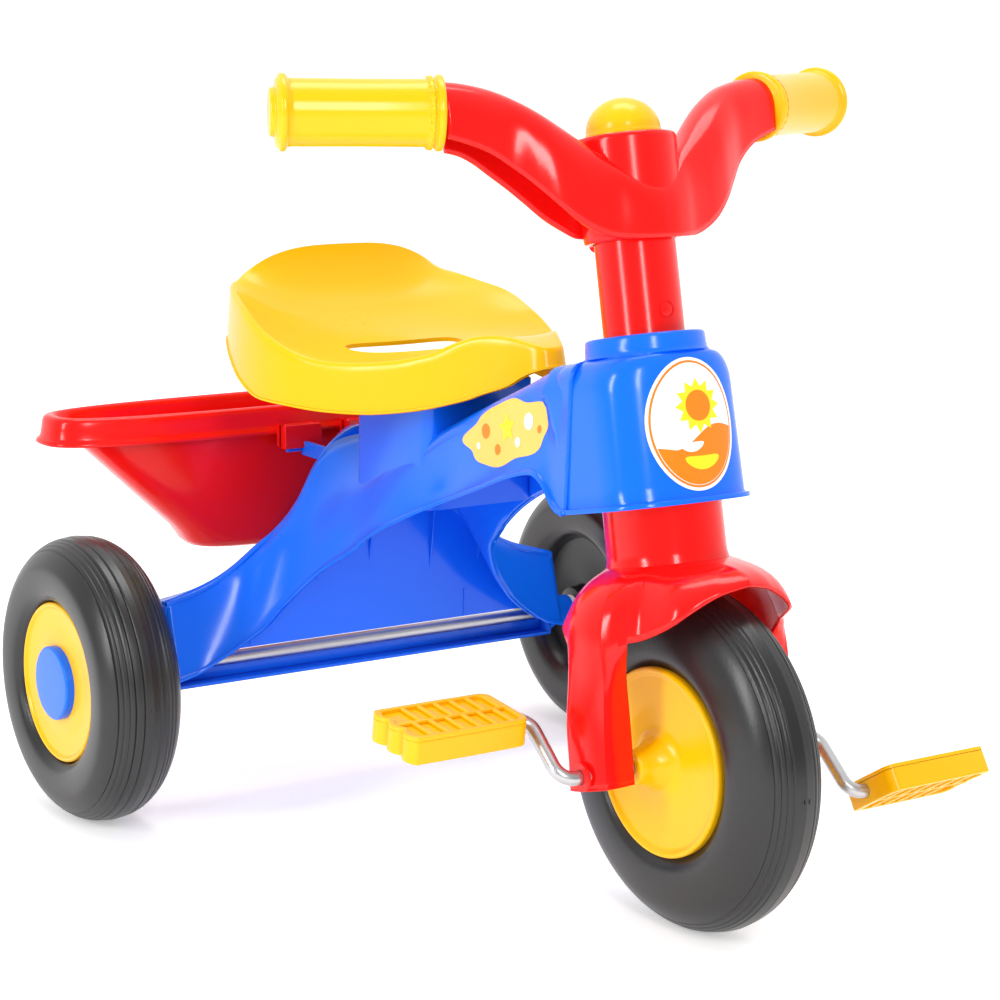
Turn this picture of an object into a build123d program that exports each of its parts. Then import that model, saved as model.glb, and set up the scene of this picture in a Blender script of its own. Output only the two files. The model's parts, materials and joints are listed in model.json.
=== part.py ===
"""Children's tricycle: a pedalled front wheel in a steered fork, a hollow body, a seat and a rear bucket.

Frame: +Z up, -Y forwards, +X to the rider's left, origin under the middle of the machine on the floor.
"""

import os
from math import cos, pi, sin

from build123d import *

os.makedirs("parts", exist_ok=True)

# --- driving dimensions, mm -------------------------------------------------------------------------
front_wheel_radius = 110.0
front_tyre_half_width = 28.0
rear_wheel_radius = 100.0
rear_tyre_half_width = 30.0
wheelbase = 397.0
rear_wheel_x = 222.0
tyre_wall = 3.0
sheet = 3.0                      # wall of every moulded shell

bucket_half_width = 212.0
bucket_half_depth = 42.0
bucket_centre_behind_axle = 95.0
bucket_rim_z = 270.0
bucket_floor_z = 164.0

running_gap = 0.05               # radial, shaft in bore
loose_gap = 0.3                  # between faces of different bodies

front_axle_y = -(front_wheel_radius + wheelbase + bucket_centre_behind_axle + bucket_half_depth) / 2
front_axle_y = front_axle_y + front_wheel_radius
rear_axle_y = front_axle_y + wheelbase
bucket_y = rear_axle_y + bucket_centre_behind_axle

# --- steering axis ----------------------------------------------------------------------------------
rake = 12.2 * pi / 180
trail_offset = 4.0               # how far behind the front axle the steering axis passes
steering_origin = Vector(0, front_axle_y + trail_offset, front_wheel_radius)
steering_axis = Vector(0, sin(rake), cos(rake))


def steering_plane(height):
    """Plane square to the steering axis; its local x is +X and its local y points to the rear."""
    origin = steering_origin + steering_axis * height
    return Plane(origin=origin, x_dir=(1, 0, 0), z_dir=steering_axis)


def steering_side_plane(x):
    """Plane parallel to YZ; its local x is up the steering axis and its local y points forwards."""
    return Plane(origin=steering_origin + Vector(x, 0, 0), x_dir=steering_axis, z_dir=(1, 0, 0))


def steering_front_plane(offset):
    """Plane through the steering axis, moved backwards; local x is -X, local y is up the axis."""
    back = Vector(0, cos(rake), -sin(rake))
    return Plane(origin=steering_origin + back * offset, x_dir=(-1, 0, 0), z_dir=back)


def axle_plane(x, y, z, outward):
    """Radial section plane of a wheel: local x runs outwards along the axle, local y is up."""
    return Plane(origin=(x, y, z), x_dir=(outward, 0, 0), z_dir=(0, -outward, 0))


SIDES = {"left": 1, "right": -1}


def steering_point(x, back, up):
    """Point given by its distance from the symmetry plane, behind the steering axis and up along it."""
    return steering_origin + Vector(x, 0, 0) + Vector(0, cos(rake), -sin(rake)) * back + steering_axis * up


def cross_plane(y):
    """Upright plane across the machine; local x is +X and local y is +Z."""
    return Plane(origin=(0, y, 0), x_dir=(1, 0, 0), z_dir=(0, -1, 0))


def side_plane(x):
    """Upright plane along the machine; local x is +Y and local y is +Z."""
    return Plane(origin=(x, 0, 0), x_dir=(0, 1, 0), z_dir=(1, 0, 0))


def both_sides(points):
    """Closed outline from the points of its +X half, listed from the middle outwards."""
    return points + [(-x, y) for x, y in reversed(points) if x > 0]


def ring(inner, outer):
    """Flat ring face about the origin of its plane."""
    with BuildSketch() as face:
        Circle(outer)
        Circle(inner, mode=Mode.SUBTRACT)
    return face.sketch


# --- wheels -----------------------------------------------------------------------------------------
front_disc_radius = 60.0
front_disc_x = 27.5              # outer face of the disc, from the middle of the wheel
front_web_x = 21.0               # face of the tyre moulding behind the disc
hub_cone_x = 38.0
hub_cone_tip_radius = 9.0
hub_cone_base_radius = 17.0
vent_radius = 2.5

rear_disc_radius = 56.0
rear_disc_x = 24.5
rear_web_x = 18.0
rear_inner_web_x = 14.0
rear_boss_radius = 16.0
rear_cap_radius = 25.8
rear_cap_x = 29.6
rear_rod_radius = 5.0

crank_radius = 4.5
crank_throw = 48.0
crank_corner_x = 100.0
crank_bend_radius = 11.0
crank_angle = 40.0 * pi / 180    # right arm, above the horizontal, pointing to the rear
spindle_end_x = 188.0

pedal_inner_x = 112.0
pedal_length = 80.0
pedal_depth = 58.0
pedal_thickness = 21.0
pedal_inner_taper = 5.0
pedal_wave = 4.0
pedal_cells = 6
pedal_cell_depth = 17.0
pedal_cell_offset = 17.5
pedal_tilt = {"left": -20.0, "right": 8.0}   # degrees about +X, as the free pedals come to rest

front_hub = Vector(0, front_axle_y, front_wheel_radius)
front_axis = Axis(front_hub, (1, 0, 0))
crank_bore = crank_radius + running_gap
rod_bore = rear_rod_radius + running_gap


def tyre_section(half_width, radius, recess_radius, outer_web, inner_web, bore_radius):
    """Half section of a hollow blow-moulded wheel: tread, bulging side walls and recessed webs."""
    shoulder = radius * 0.93
    bulge = (recess_radius + radius) / 2
    crown_x = half_width * 0.72
    with BuildSketch() as section:
        with BuildLine():
            Polyline((outer_web, bore_radius), (outer_web, recess_radius), (half_width - 4,
                                                                            recess_radius + 2))
            ThreePointArc((half_width - 4, recess_radius + 2), (half_width, bulge), (crown_x, shoulder))
            ThreePointArc((crown_x, shoulder), (0, radius), (-crown_x, shoulder))
            ThreePointArc((-crown_x, shoulder), (-half_width, bulge), (4 - half_width, recess_radius + 2))
            Polyline((4 - half_width, recess_radius + 2), (-inner_web, recess_radius), (-inner_web,
                                                                                        bore_radius),
                     (outer_web, bore_radius))
        make_face()
        offset(amount=-tyre_wall, kind=Kind.INTERSECTION, mode=Mode.SUBTRACT)
    return section.sketch


def turned(centre, outward, points):
    """Body of revolution about a wheel axle from (distance outwards, radius) points."""
    with BuildPart() as piece:
        with BuildSketch(axle_plane(*centre, outward)):
            with BuildLine():
                Polyline(*points, close=True)
            make_face()
        revolve(axis=Axis(centre, (1, 0, 0)))
    return piece.part


def wheel_moulding(centre, outward, section, tread_radius):
    """Hollow wheel from its half section, with the small moulding vent through the tread."""
    with BuildPart() as wheel:
        with BuildSketch(axle_plane(*centre, outward)):
            add(section)
        revolve(axis=Axis(centre, (1, 0, 0)))
        vent_plane = Plane(origin=centre + Vector(0, -tread_radius + 2 * tyre_wall, 0), z_dir=(0, -1, 0))
        with BuildSketch(vent_plane):
            Circle(vent_radius)
        extrude(amount=3 * tyre_wall, mode=Mode.SUBTRACT)
    return wheel.part


with BuildPart() as front_tyre:
    add(wheel_moulding(front_hub, 1, tyre_section(front_tyre_half_width, front_wheel_radius,
                                                  front_disc_radius + loose_gap, front_web_x, front_web_x,
                                                  crank_bore), front_wheel_radius))
front_tyre.part.label = "front_tyre"
export_step(front_tyre.part, "parts/front_tyre.step")

for name, outward in SIDES.items():
    with BuildPart() as front_disc:
        add(turned(front_hub, outward, [
            (front_web_x, crank_bore),
            (hub_cone_x, crank_bore),
            (hub_cone_x, hub_cone_tip_radius),
            (front_disc_x, hub_cone_base_radius),
            (front_disc_x, front_disc_radius),
            (front_web_x, front_disc_radius),
            (front_web_x, front_disc_radius - sheet),
            (front_disc_x - sheet, front_disc_radius - sheet),
            (front_disc_x - sheet, hub_cone_base_radius - sheet),
            (front_web_x, hub_cone_base_radius - sheet),
        ]))
    front_disc.part.label = f"front_disc_{name}"
    export_step(front_disc.part, f"parts/front_disc_{name}.step")

# --- crank: one bent rod through the front wheel, with a pedal on each end --------------------------
crank_arm = Vector(0, cos(crank_angle), sin(crank_angle)) * crank_throw
with BuildPart() as crank:
    with BuildLine() as crank_path:
        FilletPolyline(
            front_hub + Vector(-spindle_end_x, 0, 0) + crank_arm,
            front_hub + Vector(-crank_corner_x, 0, 0) + crank_arm,
            front_hub + Vector(-crank_corner_x, 0, 0),
            front_hub + Vector(crank_corner_x, 0, 0),
            front_hub + Vector(crank_corner_x, 0, 0) - crank_arm,
            front_hub + Vector(spindle_end_x, 0, 0) - crank_arm,
            radius=crank_bend_radius,
        )
    with BuildSketch(Plane(origin=front_hub + Vector(-spindle_end_x, 0, 0) + crank_arm, z_dir=(1, 0, 0))):
        Circle(crank_radius)
    sweep(path=crank_path.line)
crank.part.label = "crank"
export_step(crank.part, "parts/crank.step")

for name, outward in SIDES.items():
    tilt = pedal_tilt[name] * pi / 180
    pedal_start = front_hub - crank_arm * outward + Vector(outward * pedal_inner_x, 0, 0)
    deck_up = Vector(0, -sin(tilt), cos(tilt))
    deck_plane = Plane(origin=pedal_start - deck_up * pedal_thickness / 2, x_dir=(outward, 0, 0),
                       z_dir=deck_up)
    half_depth = pedal_depth / 2
    wave_step = pedal_depth / 3
    cell_pitch = pedal_length / pedal_cells
    with BuildPart() as pedal:
        with BuildSketch(deck_plane):
            with BuildLine():
                Polyline((pedal_length, -half_depth), (0, -half_depth + pedal_inner_taper),
                         (0, half_depth - pedal_inner_taper), (pedal_length, half_depth))
                for wave in range(3):
                    wave_start = half_depth - wave * wave_step
                    ThreePointArc((pedal_length, wave_start), (pedal_length + pedal_wave,
                                                               wave_start - wave_step / 2),
                                  (pedal_length, wave_start - wave_step))
            make_face()
        extrude(amount=pedal_thickness)
        with BuildSketch(deck_plane):
            for row in (-1, 1):
                for cell in range(pedal_cells):
                    with Locations(((cell + 0.5) * cell_pitch, row * pedal_cell_offset)):
                        Rectangle(cell_pitch - sheet, pedal_cell_depth)
        extrude(amount=pedal_thickness - sheet, mode=Mode.SUBTRACT)
        with BuildSketch(Plane(origin=pedal_start, z_dir=(outward, 0, 0))):
            Circle(crank_bore)
        extrude(amount=spindle_end_x - pedal_inner_x + loose_gap, mode=Mode.SUBTRACT)
    pedal.part.label = f"pedal_{name}"
    export_step(pedal.part, f"parts/pedal_{name}.step")

# --- rear wheels on their steel axle ----------------------------------------------------------------
boss_end_x = 187.5               # end of the bosses of the body that carry the axle
rear_inner_face_x = rear_wheel_x - rear_tyre_half_width
push_nut_thickness = 1.0
push_nut_radius = 9.0
push_nut_x = rear_wheel_x + rear_disc_x + loose_gap
rod_end_x = push_nut_x + push_nut_thickness + 1.0
washer_radius = 10.0
cap_wall = 1.6
for name, outward in SIDES.items():
    rear_hub = Vector(outward * rear_wheel_x, rear_axle_y, rear_wheel_radius)
    with BuildPart() as rear_tyre:
        add(wheel_moulding(rear_hub, outward, tyre_section(rear_tyre_half_width, rear_wheel_radius,
                                                           rear_disc_radius + loose_gap, rear_web_x,
                                                           rear_inner_web_x, rod_bore), rear_wheel_radius))
        add(turned(rear_hub, outward, [
            (-rear_inner_web_x, rod_bore),
            (-rear_inner_web_x, rear_boss_radius),
            (-rear_tyre_half_width, rear_boss_radius),
            (-rear_tyre_half_width, rod_bore),
        ]))
    rear_tyre.part.label = f"rear_tyre_{name}"
    export_step(rear_tyre.part, f"parts/rear_tyre_{name}.step")

    with BuildPart() as rear_disc:
        add(turned(rear_hub, outward, [
            (rear_web_x, rod_bore),
            (rear_disc_x, rod_bore),
            (rear_disc_x, rear_disc_radius),
            (rear_web_x, rear_disc_radius),
            (rear_web_x, rear_disc_radius - sheet),
            (rear_disc_x - sheet, rear_disc_radius - sheet),
            (rear_disc_x - sheet, rear_boss_radius),
            (rear_web_x, rear_boss_radius),
        ]))
    rear_disc.part.label = f"rear_disc_{name}"
    export_step(rear_disc.part, f"parts/rear_disc_{name}.step")

    with BuildPart() as rear_cap:
        add(turned(rear_hub, outward, [
            (rear_disc_x, rear_cap_radius - 2 * cap_wall),
            (rear_disc_x, rear_cap_radius),
            (rear_cap_x - cap_wall, rear_cap_radius),
            (rear_cap_x, rear_cap_radius - 2 * cap_wall),
            (rear_cap_x, 0),
            (rear_cap_x - cap_wall, 0),
            (rear_cap_x - cap_wall, rear_cap_radius - 2 * cap_wall),
        ]))
    rear_cap.part.label = f"rear_cap_{name}"
    export_step(rear_cap.part, f"parts/rear_cap_{name}.step")

rear_centre = Vector(0, rear_axle_y, rear_wheel_radius)
with BuildPart() as rear_axle:
    with BuildSketch(Plane(origin=rear_centre, z_dir=(1, 0, 0))):
        Circle(rear_rod_radius)
    extrude(amount=rod_end_x, both=True)
rear_axle.part.label = "rear_axle"
export_step(rear_axle.part, "parts/rear_axle.step")

with BuildPart() as push_nuts:
    for outward in SIDES.values():
        with BuildSketch(Plane(origin=rear_centre + Vector(outward * push_nut_x, 0, 0), z_dir=(outward, 0,
                                                                                               0))):
            add(ring(rear_rod_radius, push_nut_radius))
        extrude(amount=push_nut_thickness)
push_nuts.part.label = "rear_push_nuts"
export_step(push_nuts.part, "parts/rear_push_nuts.step")

with BuildPart() as rear_washers:
    for outward in SIDES.values():
        washer_x = boss_end_x + loose_gap
        with BuildSketch(Plane(origin=rear_centre + Vector(outward * washer_x, 0, 0), z_dir=(outward, 0,
                                                                                             0))):
            add(ring(rod_bore, washer_radius))
        extrude(amount=rear_inner_face_x - loose_gap - washer_x)
rear_washers.part.label = "rear_washers"
export_step(rear_washers.part, "parts/rear_washers.step")

# --- fork -------------------------------------------------------------------------------------------
tyre_clearance = 3.5
leg_inner_x = 41.0
leg_outer_x = 84.0
leg_half_depth = 21.0
leg_below_axle = 9.5
leg_straight_height = 31.0
leg_shoulder = (70.0, 78.0)
crown_thickness = 6.5
lower_column_radius = 37.5
upper_column_radius = 25.5
visor_reach = 75.0
visor_tip_half_width = 18.0
visor_tip_drop = 15.0

crown_underside = front_wheel_radius + tyre_clearance
crown_top = crown_underside + crown_thickness
housing_bottom = crown_top + 37.0
housing_height = 96.0
housing_top = housing_bottom + housing_height
collar_height = 10.0
collar_top = housing_top + collar_height
column_shoulder = housing_top - 6.0
tower_bottom = collar_top + 59.0
column_top = tower_bottom + 26.0
tower_floor = column_top + sheet
tower_top = tower_bottom + 65.0
plug_height = collar_top + 14.0
plug_radius = 4.8
screw_radius = 2.5
screw_head_radius = 5.0
screw_height = tower_bottom + 14.0
clip_radius = 9.0
clip_thickness = 2.0


def outline(points):
    """Closed straight-sided face from the points of its +X half."""
    with BuildSketch() as face:
        with BuildLine():
            Polyline(*both_sides(points), close=True)
        make_face()
    return face.sketch


def column(bottom, top, outer, inner):
    """Tube about the steering axis."""
    with BuildPart() as tube:
        with BuildSketch(steering_plane(bottom)):
            Circle(outer)
            if inner > 0:
                Circle(inner, mode=Mode.SUBTRACT)
        extrude(amount=top - bottom)
    return tube.part


leg_outer = [leg_shoulder, (leg_outer_x, leg_straight_height), (leg_outer_x, -leg_below_axle)]
brim_start = crown_top - 2
with BuildPart() as fork:
    with BuildSketch(steering_front_plane(-leg_half_depth)):
        add(outline([(0, crown_top), (lower_column_radius, crown_top), (58, crown_top - 20), *leg_outer]))
        add(outline([(0, crown_underside), (front_tyre_half_width + 4, crown_underside),
                     (leg_inner_x, crown_underside - 30), (leg_inner_x, -leg_below_axle)]),
                     mode=Mode.SUBTRACT)
    extrude(amount=2 * leg_half_depth)
    for outward in SIDES.values():
        with BuildSketch(steering_front_plane(-leg_half_depth + sheet)):
            with BuildLine():
                Polyline(
                    (outward * (leg_inner_x + sheet), sheet - leg_below_axle),
                    (outward * (leg_outer_x - sheet), sheet - leg_below_axle),
                    (outward * (leg_outer_x - sheet), leg_straight_height),
                    (outward * (leg_shoulder[0] - sheet), leg_shoulder[1] - sheet),
                    (outward * (leg_inner_x + sheet), leg_shoulder[1] - sheet),
                    close=True,
                )
            make_face()
        extrude(amount=2 * leg_half_depth, mode=Mode.SUBTRACT)
    # brim over the tyre, narrowing forwards
    with BuildSketch(steering_front_plane(-leg_half_depth + 1)):
        add(outline([(lower_column_radius, brim_start), (50, brim_start - 18), (62, brim_start - 41),
                     (62 - sheet, brim_start - 41), (50 - sheet, brim_start - 18 - sheet),
                     (lower_column_radius - sheet, brim_start - sheet)]))
    visor_base = brim_start - visor_tip_drop
    with BuildSketch(steering_front_plane(-visor_reach)):
        add(outline([(visor_tip_half_width / 3, visor_base), (visor_tip_half_width * 0.7, visor_base - 3),
                     (visor_tip_half_width, visor_base - 6), (visor_tip_half_width - 1,
                                                              visor_base - 6 - sheet),
                     (visor_tip_half_width * 0.7 - 1, visor_base - 3 - sheet),
                     (visor_tip_half_width / 3 - 1, visor_base - sheet)]))
    loft(ruled=True)
    add(column(crown_underside, column_shoulder, lower_column_radius, lower_column_radius - sheet))
    add(column(column_shoulder - sheet, column_shoulder, lower_column_radius, upper_column_radius - sheet))
    add(column(column_shoulder - sheet, column_top, upper_column_radius, upper_column_radius - sheet))
    with BuildSketch(Plane(origin=front_hub, z_dir=(1, 0, 0))):
        Circle(crank_bore)
    extrude(amount=leg_outer_x + sheet, both=True, mode=Mode.SUBTRACT)
    with BuildSketch(Plane(origin=steering_point(0, 0, plug_height),
                           z_dir=steering_front_plane(0).z_dir * -1)):
        Circle(plug_radius)
    extrude(amount=lower_column_radius, mode=Mode.SUBTRACT)
    with BuildSketch(Plane(origin=steering_point(0, 0, screw_height), z_dir=steering_front_plane(0).z_dir)):
        Circle(screw_radius + running_gap)
    extrude(amount=lower_column_radius, mode=Mode.SUBTRACT)
fork.part.label = "fork"
export_step(fork.part, "parts/fork.step")

with BuildPart() as column_plug:
    plug_face = steering_front_plane(-(upper_column_radius + 1.2))
    with BuildSketch(Plane(origin=steering_point(0, -(upper_column_radius + 1.2), plug_height),
                           z_dir=plug_face.z_dir)):
        Circle(plug_radius - running_gap)
    extrude(amount=sheet)
column_plug.part.label = "column_plug"
export_step(column_plug.part, "parts/column_plug.step")

with BuildPart() as fork_clips:
    for outward in SIDES.values():
        clip_x = outward * leg_outer_x
        with BuildSketch(Plane(origin=front_hub + Vector(clip_x, 0, 0), z_dir=(outward, 0, 0))):
            add(ring(crank_radius + loose_gap, clip_radius))
        extrude(amount=clip_thickness)
fork_clips.part.label = "fork_clips"
export_step(fork_clips.part, "parts/fork_clips.step")

with BuildPart() as front_washers:
    for outward in SIDES.values():
        washer_start = front_hub + Vector(outward * (hub_cone_x + loose_gap), 0, 0)
        with BuildSketch(Plane(origin=washer_start, z_dir=(outward, 0, 0))):
            add(ring(crank_bore, hub_cone_tip_radius))
        extrude(amount=leg_inner_x - hub_cone_x - loose_gap)
front_washers.part.label = "front_washers"
export_step(front_washers.part, "parts/front_washers.step")

# --- handlebar with its grips and the squeaker button -----------------------------------------------
tower_radius = 32.0
button_radius = 24.5
button_skirt = 15.0
button_height = 24.5
button_travel = 4.0
bellows_radius = 14.0
arm_half_depth = 22.0
arm_end_half_height = 23.5
grip_start_x = 120.4
grip_start_back = 17.3
grip_sweep = 24.75 * pi / 180
grip_length = 101.5
grip_radius = 20.5
grip_flange_radius = 22.5
stub_radius = 14.0
stub_length = 85.0
lug_half_width = 8.0
lug_reach = 40.0


def arm_section(low, high, half_depth, inset):
    """Section of the handlebar arm: a channel seen from its end, first coordinate up, second forwards."""
    return [
        (low - 2 * inset, -half_depth + inset),
        (high - 10, -half_depth + inset),
        (high - inset, -half_depth + 10),
        (high - inset, half_depth - 10),
        (high - 10, half_depth - inset),
        (low - 2 * inset, half_depth - inset),
    ]


arm_stations = [              # distance from the symmetry plane, behind the axis, lower and upper edge above
    (20.0, -2.0, 0.0, 66.0),  # the bottom of the tower
    (52.0, -3.5, 2.0, 71.0),
    (75.0, -2.8, 17.0, 84.0),
    (100.0, 3.6, 39.0, 97.0),
]
grip_start_height = tower_bottom + 84.7
with BuildPart() as handlebar:
    for outward in SIDES.values():
        grip_direction = Vector(outward * cos(grip_sweep), sin(grip_sweep), 0)
        grip_start = steering_point(outward * grip_start_x, grip_start_back, grip_start_height)
        for inset in (0.0, sheet):
            for x, back, low, high in arm_stations:
                station = Plane(origin=steering_point(outward * x, back, tower_bottom), x_dir=steering_axis,
                                z_dir=(1, 0, 0))
                with BuildSketch(station):
                    with BuildLine():
                        Polyline(*arm_section(low, high, arm_half_depth, inset), close=True)
                    make_face()
            end_plane = Plane(origin=grip_start - grip_direction * inset, x_dir=(0, 0, 1),
                              z_dir=grip_direction * outward)
            with BuildSketch(end_plane):
                with BuildLine():
                    Polyline(*arm_section(-arm_end_half_height, arm_end_half_height, arm_half_depth, inset),
                             close=True)
                make_face()
            loft(ruled=True, mode=Mode.ADD if inset == 0 else Mode.SUBTRACT)
        with BuildSketch(Plane(origin=grip_start - grip_direction * 2, z_dir=grip_direction)):
            Circle(stub_radius)
        extrude(amount=stub_length + 2)
    add(column(tower_bottom, tower_top, tower_radius, 0))
    lug_plane = steering_front_plane(upper_column_radius)
    with BuildSketch(lug_plane):
        with Locations((0, screw_height)):
            Rectangle(2 * lug_half_width, 2 * lug_half_width)
    extrude(amount=lug_reach - upper_column_radius)
    bore_bottom = tower_bottom - sheet
    with BuildSketch(steering_plane(bore_bottom)):
        Circle(upper_column_radius + running_gap)
    extrude(amount=column_top - bore_bottom, mode=Mode.SUBTRACT)
    with BuildSketch(steering_plane(tower_floor)):
        Circle(button_radius + loose_gap)
    extrude(amount=tower_top - tower_floor + sheet, mode=Mode.SUBTRACT)
    with BuildSketch(Plane(origin=steering_point(0, 0, screw_height), z_dir=steering_front_plane(0).z_dir)):
        Circle(screw_radius + running_gap)
    extrude(amount=lug_reach + sheet, mode=Mode.SUBTRACT)
handlebar.part.label = "handlebar"
export_step(handlebar.part, "parts/handlebar.step")

with BuildPart() as handlebar_screw:
    screw_direction = steering_front_plane(0).z_dir
    with BuildSketch(Plane(origin=steering_point(0, lug_reach, screw_height), z_dir=screw_direction)):
        Circle(screw_head_radius)
    extrude(amount=sheet)
    with BuildSketch(Plane(origin=steering_point(0, lug_reach, screw_height), z_dir=screw_direction * -1)):
        Circle(screw_radius)
    extrude(amount=lug_reach - upper_column_radius + sheet)
handlebar_screw.part.label = "handlebar_screw"
export_step(handlebar_screw.part, "parts/handlebar_screw.step")

for name, outward in SIDES.items():
    grip_direction = Vector(outward * cos(grip_sweep), sin(grip_sweep), 0)
    grip_start = steering_point(outward * grip_start_x, grip_start_back, grip_start_height)
    with BuildPart() as grip:
        with BuildSketch(Plane(origin=grip_start, x_dir=grip_direction, z_dir=(0, 0, 1))):
            with BuildLine():
                Polyline(
                    (loose_gap, stub_radius + running_gap),
                    (loose_gap, grip_flange_radius + 0.5),
                    (4, grip_flange_radius + 0.5),
                    (6, grip_radius),
                    (grip_length - 7, grip_radius),
                    (grip_length - 5, grip_flange_radius),
                    (grip_length, grip_flange_radius),
                    (grip_length, 0),
                    (stub_length + loose_gap, 0),
                    (stub_length + loose_gap, stub_radius + running_gap),
                    close=True,
                )
            make_face()
        revolve(axis=Axis(grip_start, grip_direction))
    grip.part.label = f"grip_{name}"
    export_step(grip.part, f"parts/grip_{name}.step")

axis_section = steering_side_plane(0)
dome_shoulder = tower_top + 2
dome_rise = button_height - 2
dome_radius = (button_radius ** 2 + dome_rise ** 2) / (2 * dome_rise)
dome_centre = tower_top + button_height - dome_radius
dome_mid = cos(pi / 4)
with BuildPart() as horn_button:
    with BuildSketch(axis_section):
        with BuildLine():
            skirt_bottom = tower_top - button_skirt
            Polyline((skirt_bottom, button_radius - sheet), (skirt_bottom, button_radius),
                     (dome_shoulder, button_radius))
            ThreePointArc((dome_shoulder, button_radius),
                          (dome_centre + dome_radius * dome_mid, dome_radius * dome_mid),
                          (tower_top + button_height, 0))
            Polyline((tower_top + button_height, 0), (tower_top + button_height - sheet, 0))
            ThreePointArc((tower_top + button_height - sheet, 0),
                          (dome_centre + (dome_radius - sheet) * dome_mid, (dome_radius - sheet) * dome_mid),
                          (dome_shoulder, button_radius - sheet))
            Polyline((dome_shoulder, button_radius - sheet), (skirt_bottom, button_radius - sheet))
        make_face()
    revolve(axis=Axis(steering_origin, steering_axis))
horn_button.part.label = "horn_button"
export_step(horn_button.part, "parts/horn_button.step")

bellows_height = tower_top + button_height - 4 * sheet - button_travel - tower_floor
pleats = 4
pleat = bellows_height / pleats
with BuildPart() as horn_bellows:
    with BuildSketch(axis_section):
        with BuildLine():
            bellows_outline = [(tower_floor, 0), (tower_floor, bellows_radius - 4)]
            for fold in range(pleats):
                bellows_outline.append((tower_floor + (fold + 0.5) * pleat, bellows_radius))
                bellows_outline.append((tower_floor + (fold + 1) * pleat, bellows_radius - 4))
            Polyline(*bellows_outline, (tower_floor + bellows_height, 0), close=True)
        make_face()
    revolve(axis=Axis(steering_origin, steering_axis))
horn_bellows.part.label = "horn_bellows"
export_step(horn_bellows.part, "parts/horn_bellows.step")

# --- body -------------------------------------------------------------------------------------------
housing_half_width = 52.0
housing_front = 42.0
housing_rear = 58.0
flange_width = 3.0
collar_radius = 38.0
upper_bush_outer = 33.5
lower_bush_outer = 41.5
rear_wall_half_width = 170.0
rear_wall_depth = 17.0
rear_wall_y = rear_axle_y - 10.0
rear_wall_open_height = 8.0      # of the axle channel, above the axle
boss_radius = 11.0
pedestal_half_width = 45.0
pedestal_front = 152.0           # ahead of the rear axle
pedestal_rear = 62.0
pedestal_height = 190.0          # above the rear axle
pedestal_depth = 22.0


def housing_outline(half_width, front, rear):
    """Plan of the steering housing, square to the steering axis: round in front, straight-sided behind."""
    with BuildSketch() as face:
        with BuildLine():
            ThreePointArc((half_width, -8), (half_width * 0.74, -front * 0.82), (0, -front))
            ThreePointArc((0, -front), (-half_width * 0.74, -front * 0.82), (-half_width, -8))
            Polyline((-half_width, -8), (-half_width, rear), (half_width, rear), (half_width, -8))
        make_face()
    return face.sketch


# outer half section of the body: middle of the top, its edge, flank, side crest and lower lip
front_sections = [               # behind the front axle; heights above the top of the front tyre
    (96.0, [(0, 131), (30, 130), (44, 125), (48, 90), (50.5, 57)]),
    (143.0, [(0, 111), (30, 110), (40, 104), (44, 75), (48, 47)]),
    (181.0, [(0, 93), (30, 91), (40, 83), (42, 60), (44.5, 33)]),
]
rear_sections = [                # ahead of the rear axle; heights above that axle
    (175.0, [(0, 197), (30, 195), (40, 189), (40.5, 162), (41, 137)]),
    (142.0, [(0, 189), (32, 186), (40, 171), (44, 146), (48.5, 121)]),
    (116.0, [(0, 183), (36, 179), (42, 157), (48, 132), (55, 109)]),
    (80.0, [(0, 177), (42, 172), (50, 140), (55, 118), (64, 84)]),
    (47.0, [(0, 170), (45, 165), (55, 130), (70, 98), (89, 48)]),
    (31.0, [(0, 166), (45, 162), (62, 119), (100, 76), (130, 10)]),
    (9.0, [(0, 162), (45, 160), (72, 105), (150, 56), (170, -7)]),
]
body_sections = [(front_axle_y + y, 2 * front_wheel_radius, points) for y, points in front_sections]
body_sections += [(rear_axle_y - y, rear_wheel_radius, points) for y, points in rear_sections]
bell_outline = [(0, 160), (45, 160), (65, 117), (85, 93), (118, 76), (rear_wall_half_width, 50)]

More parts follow.
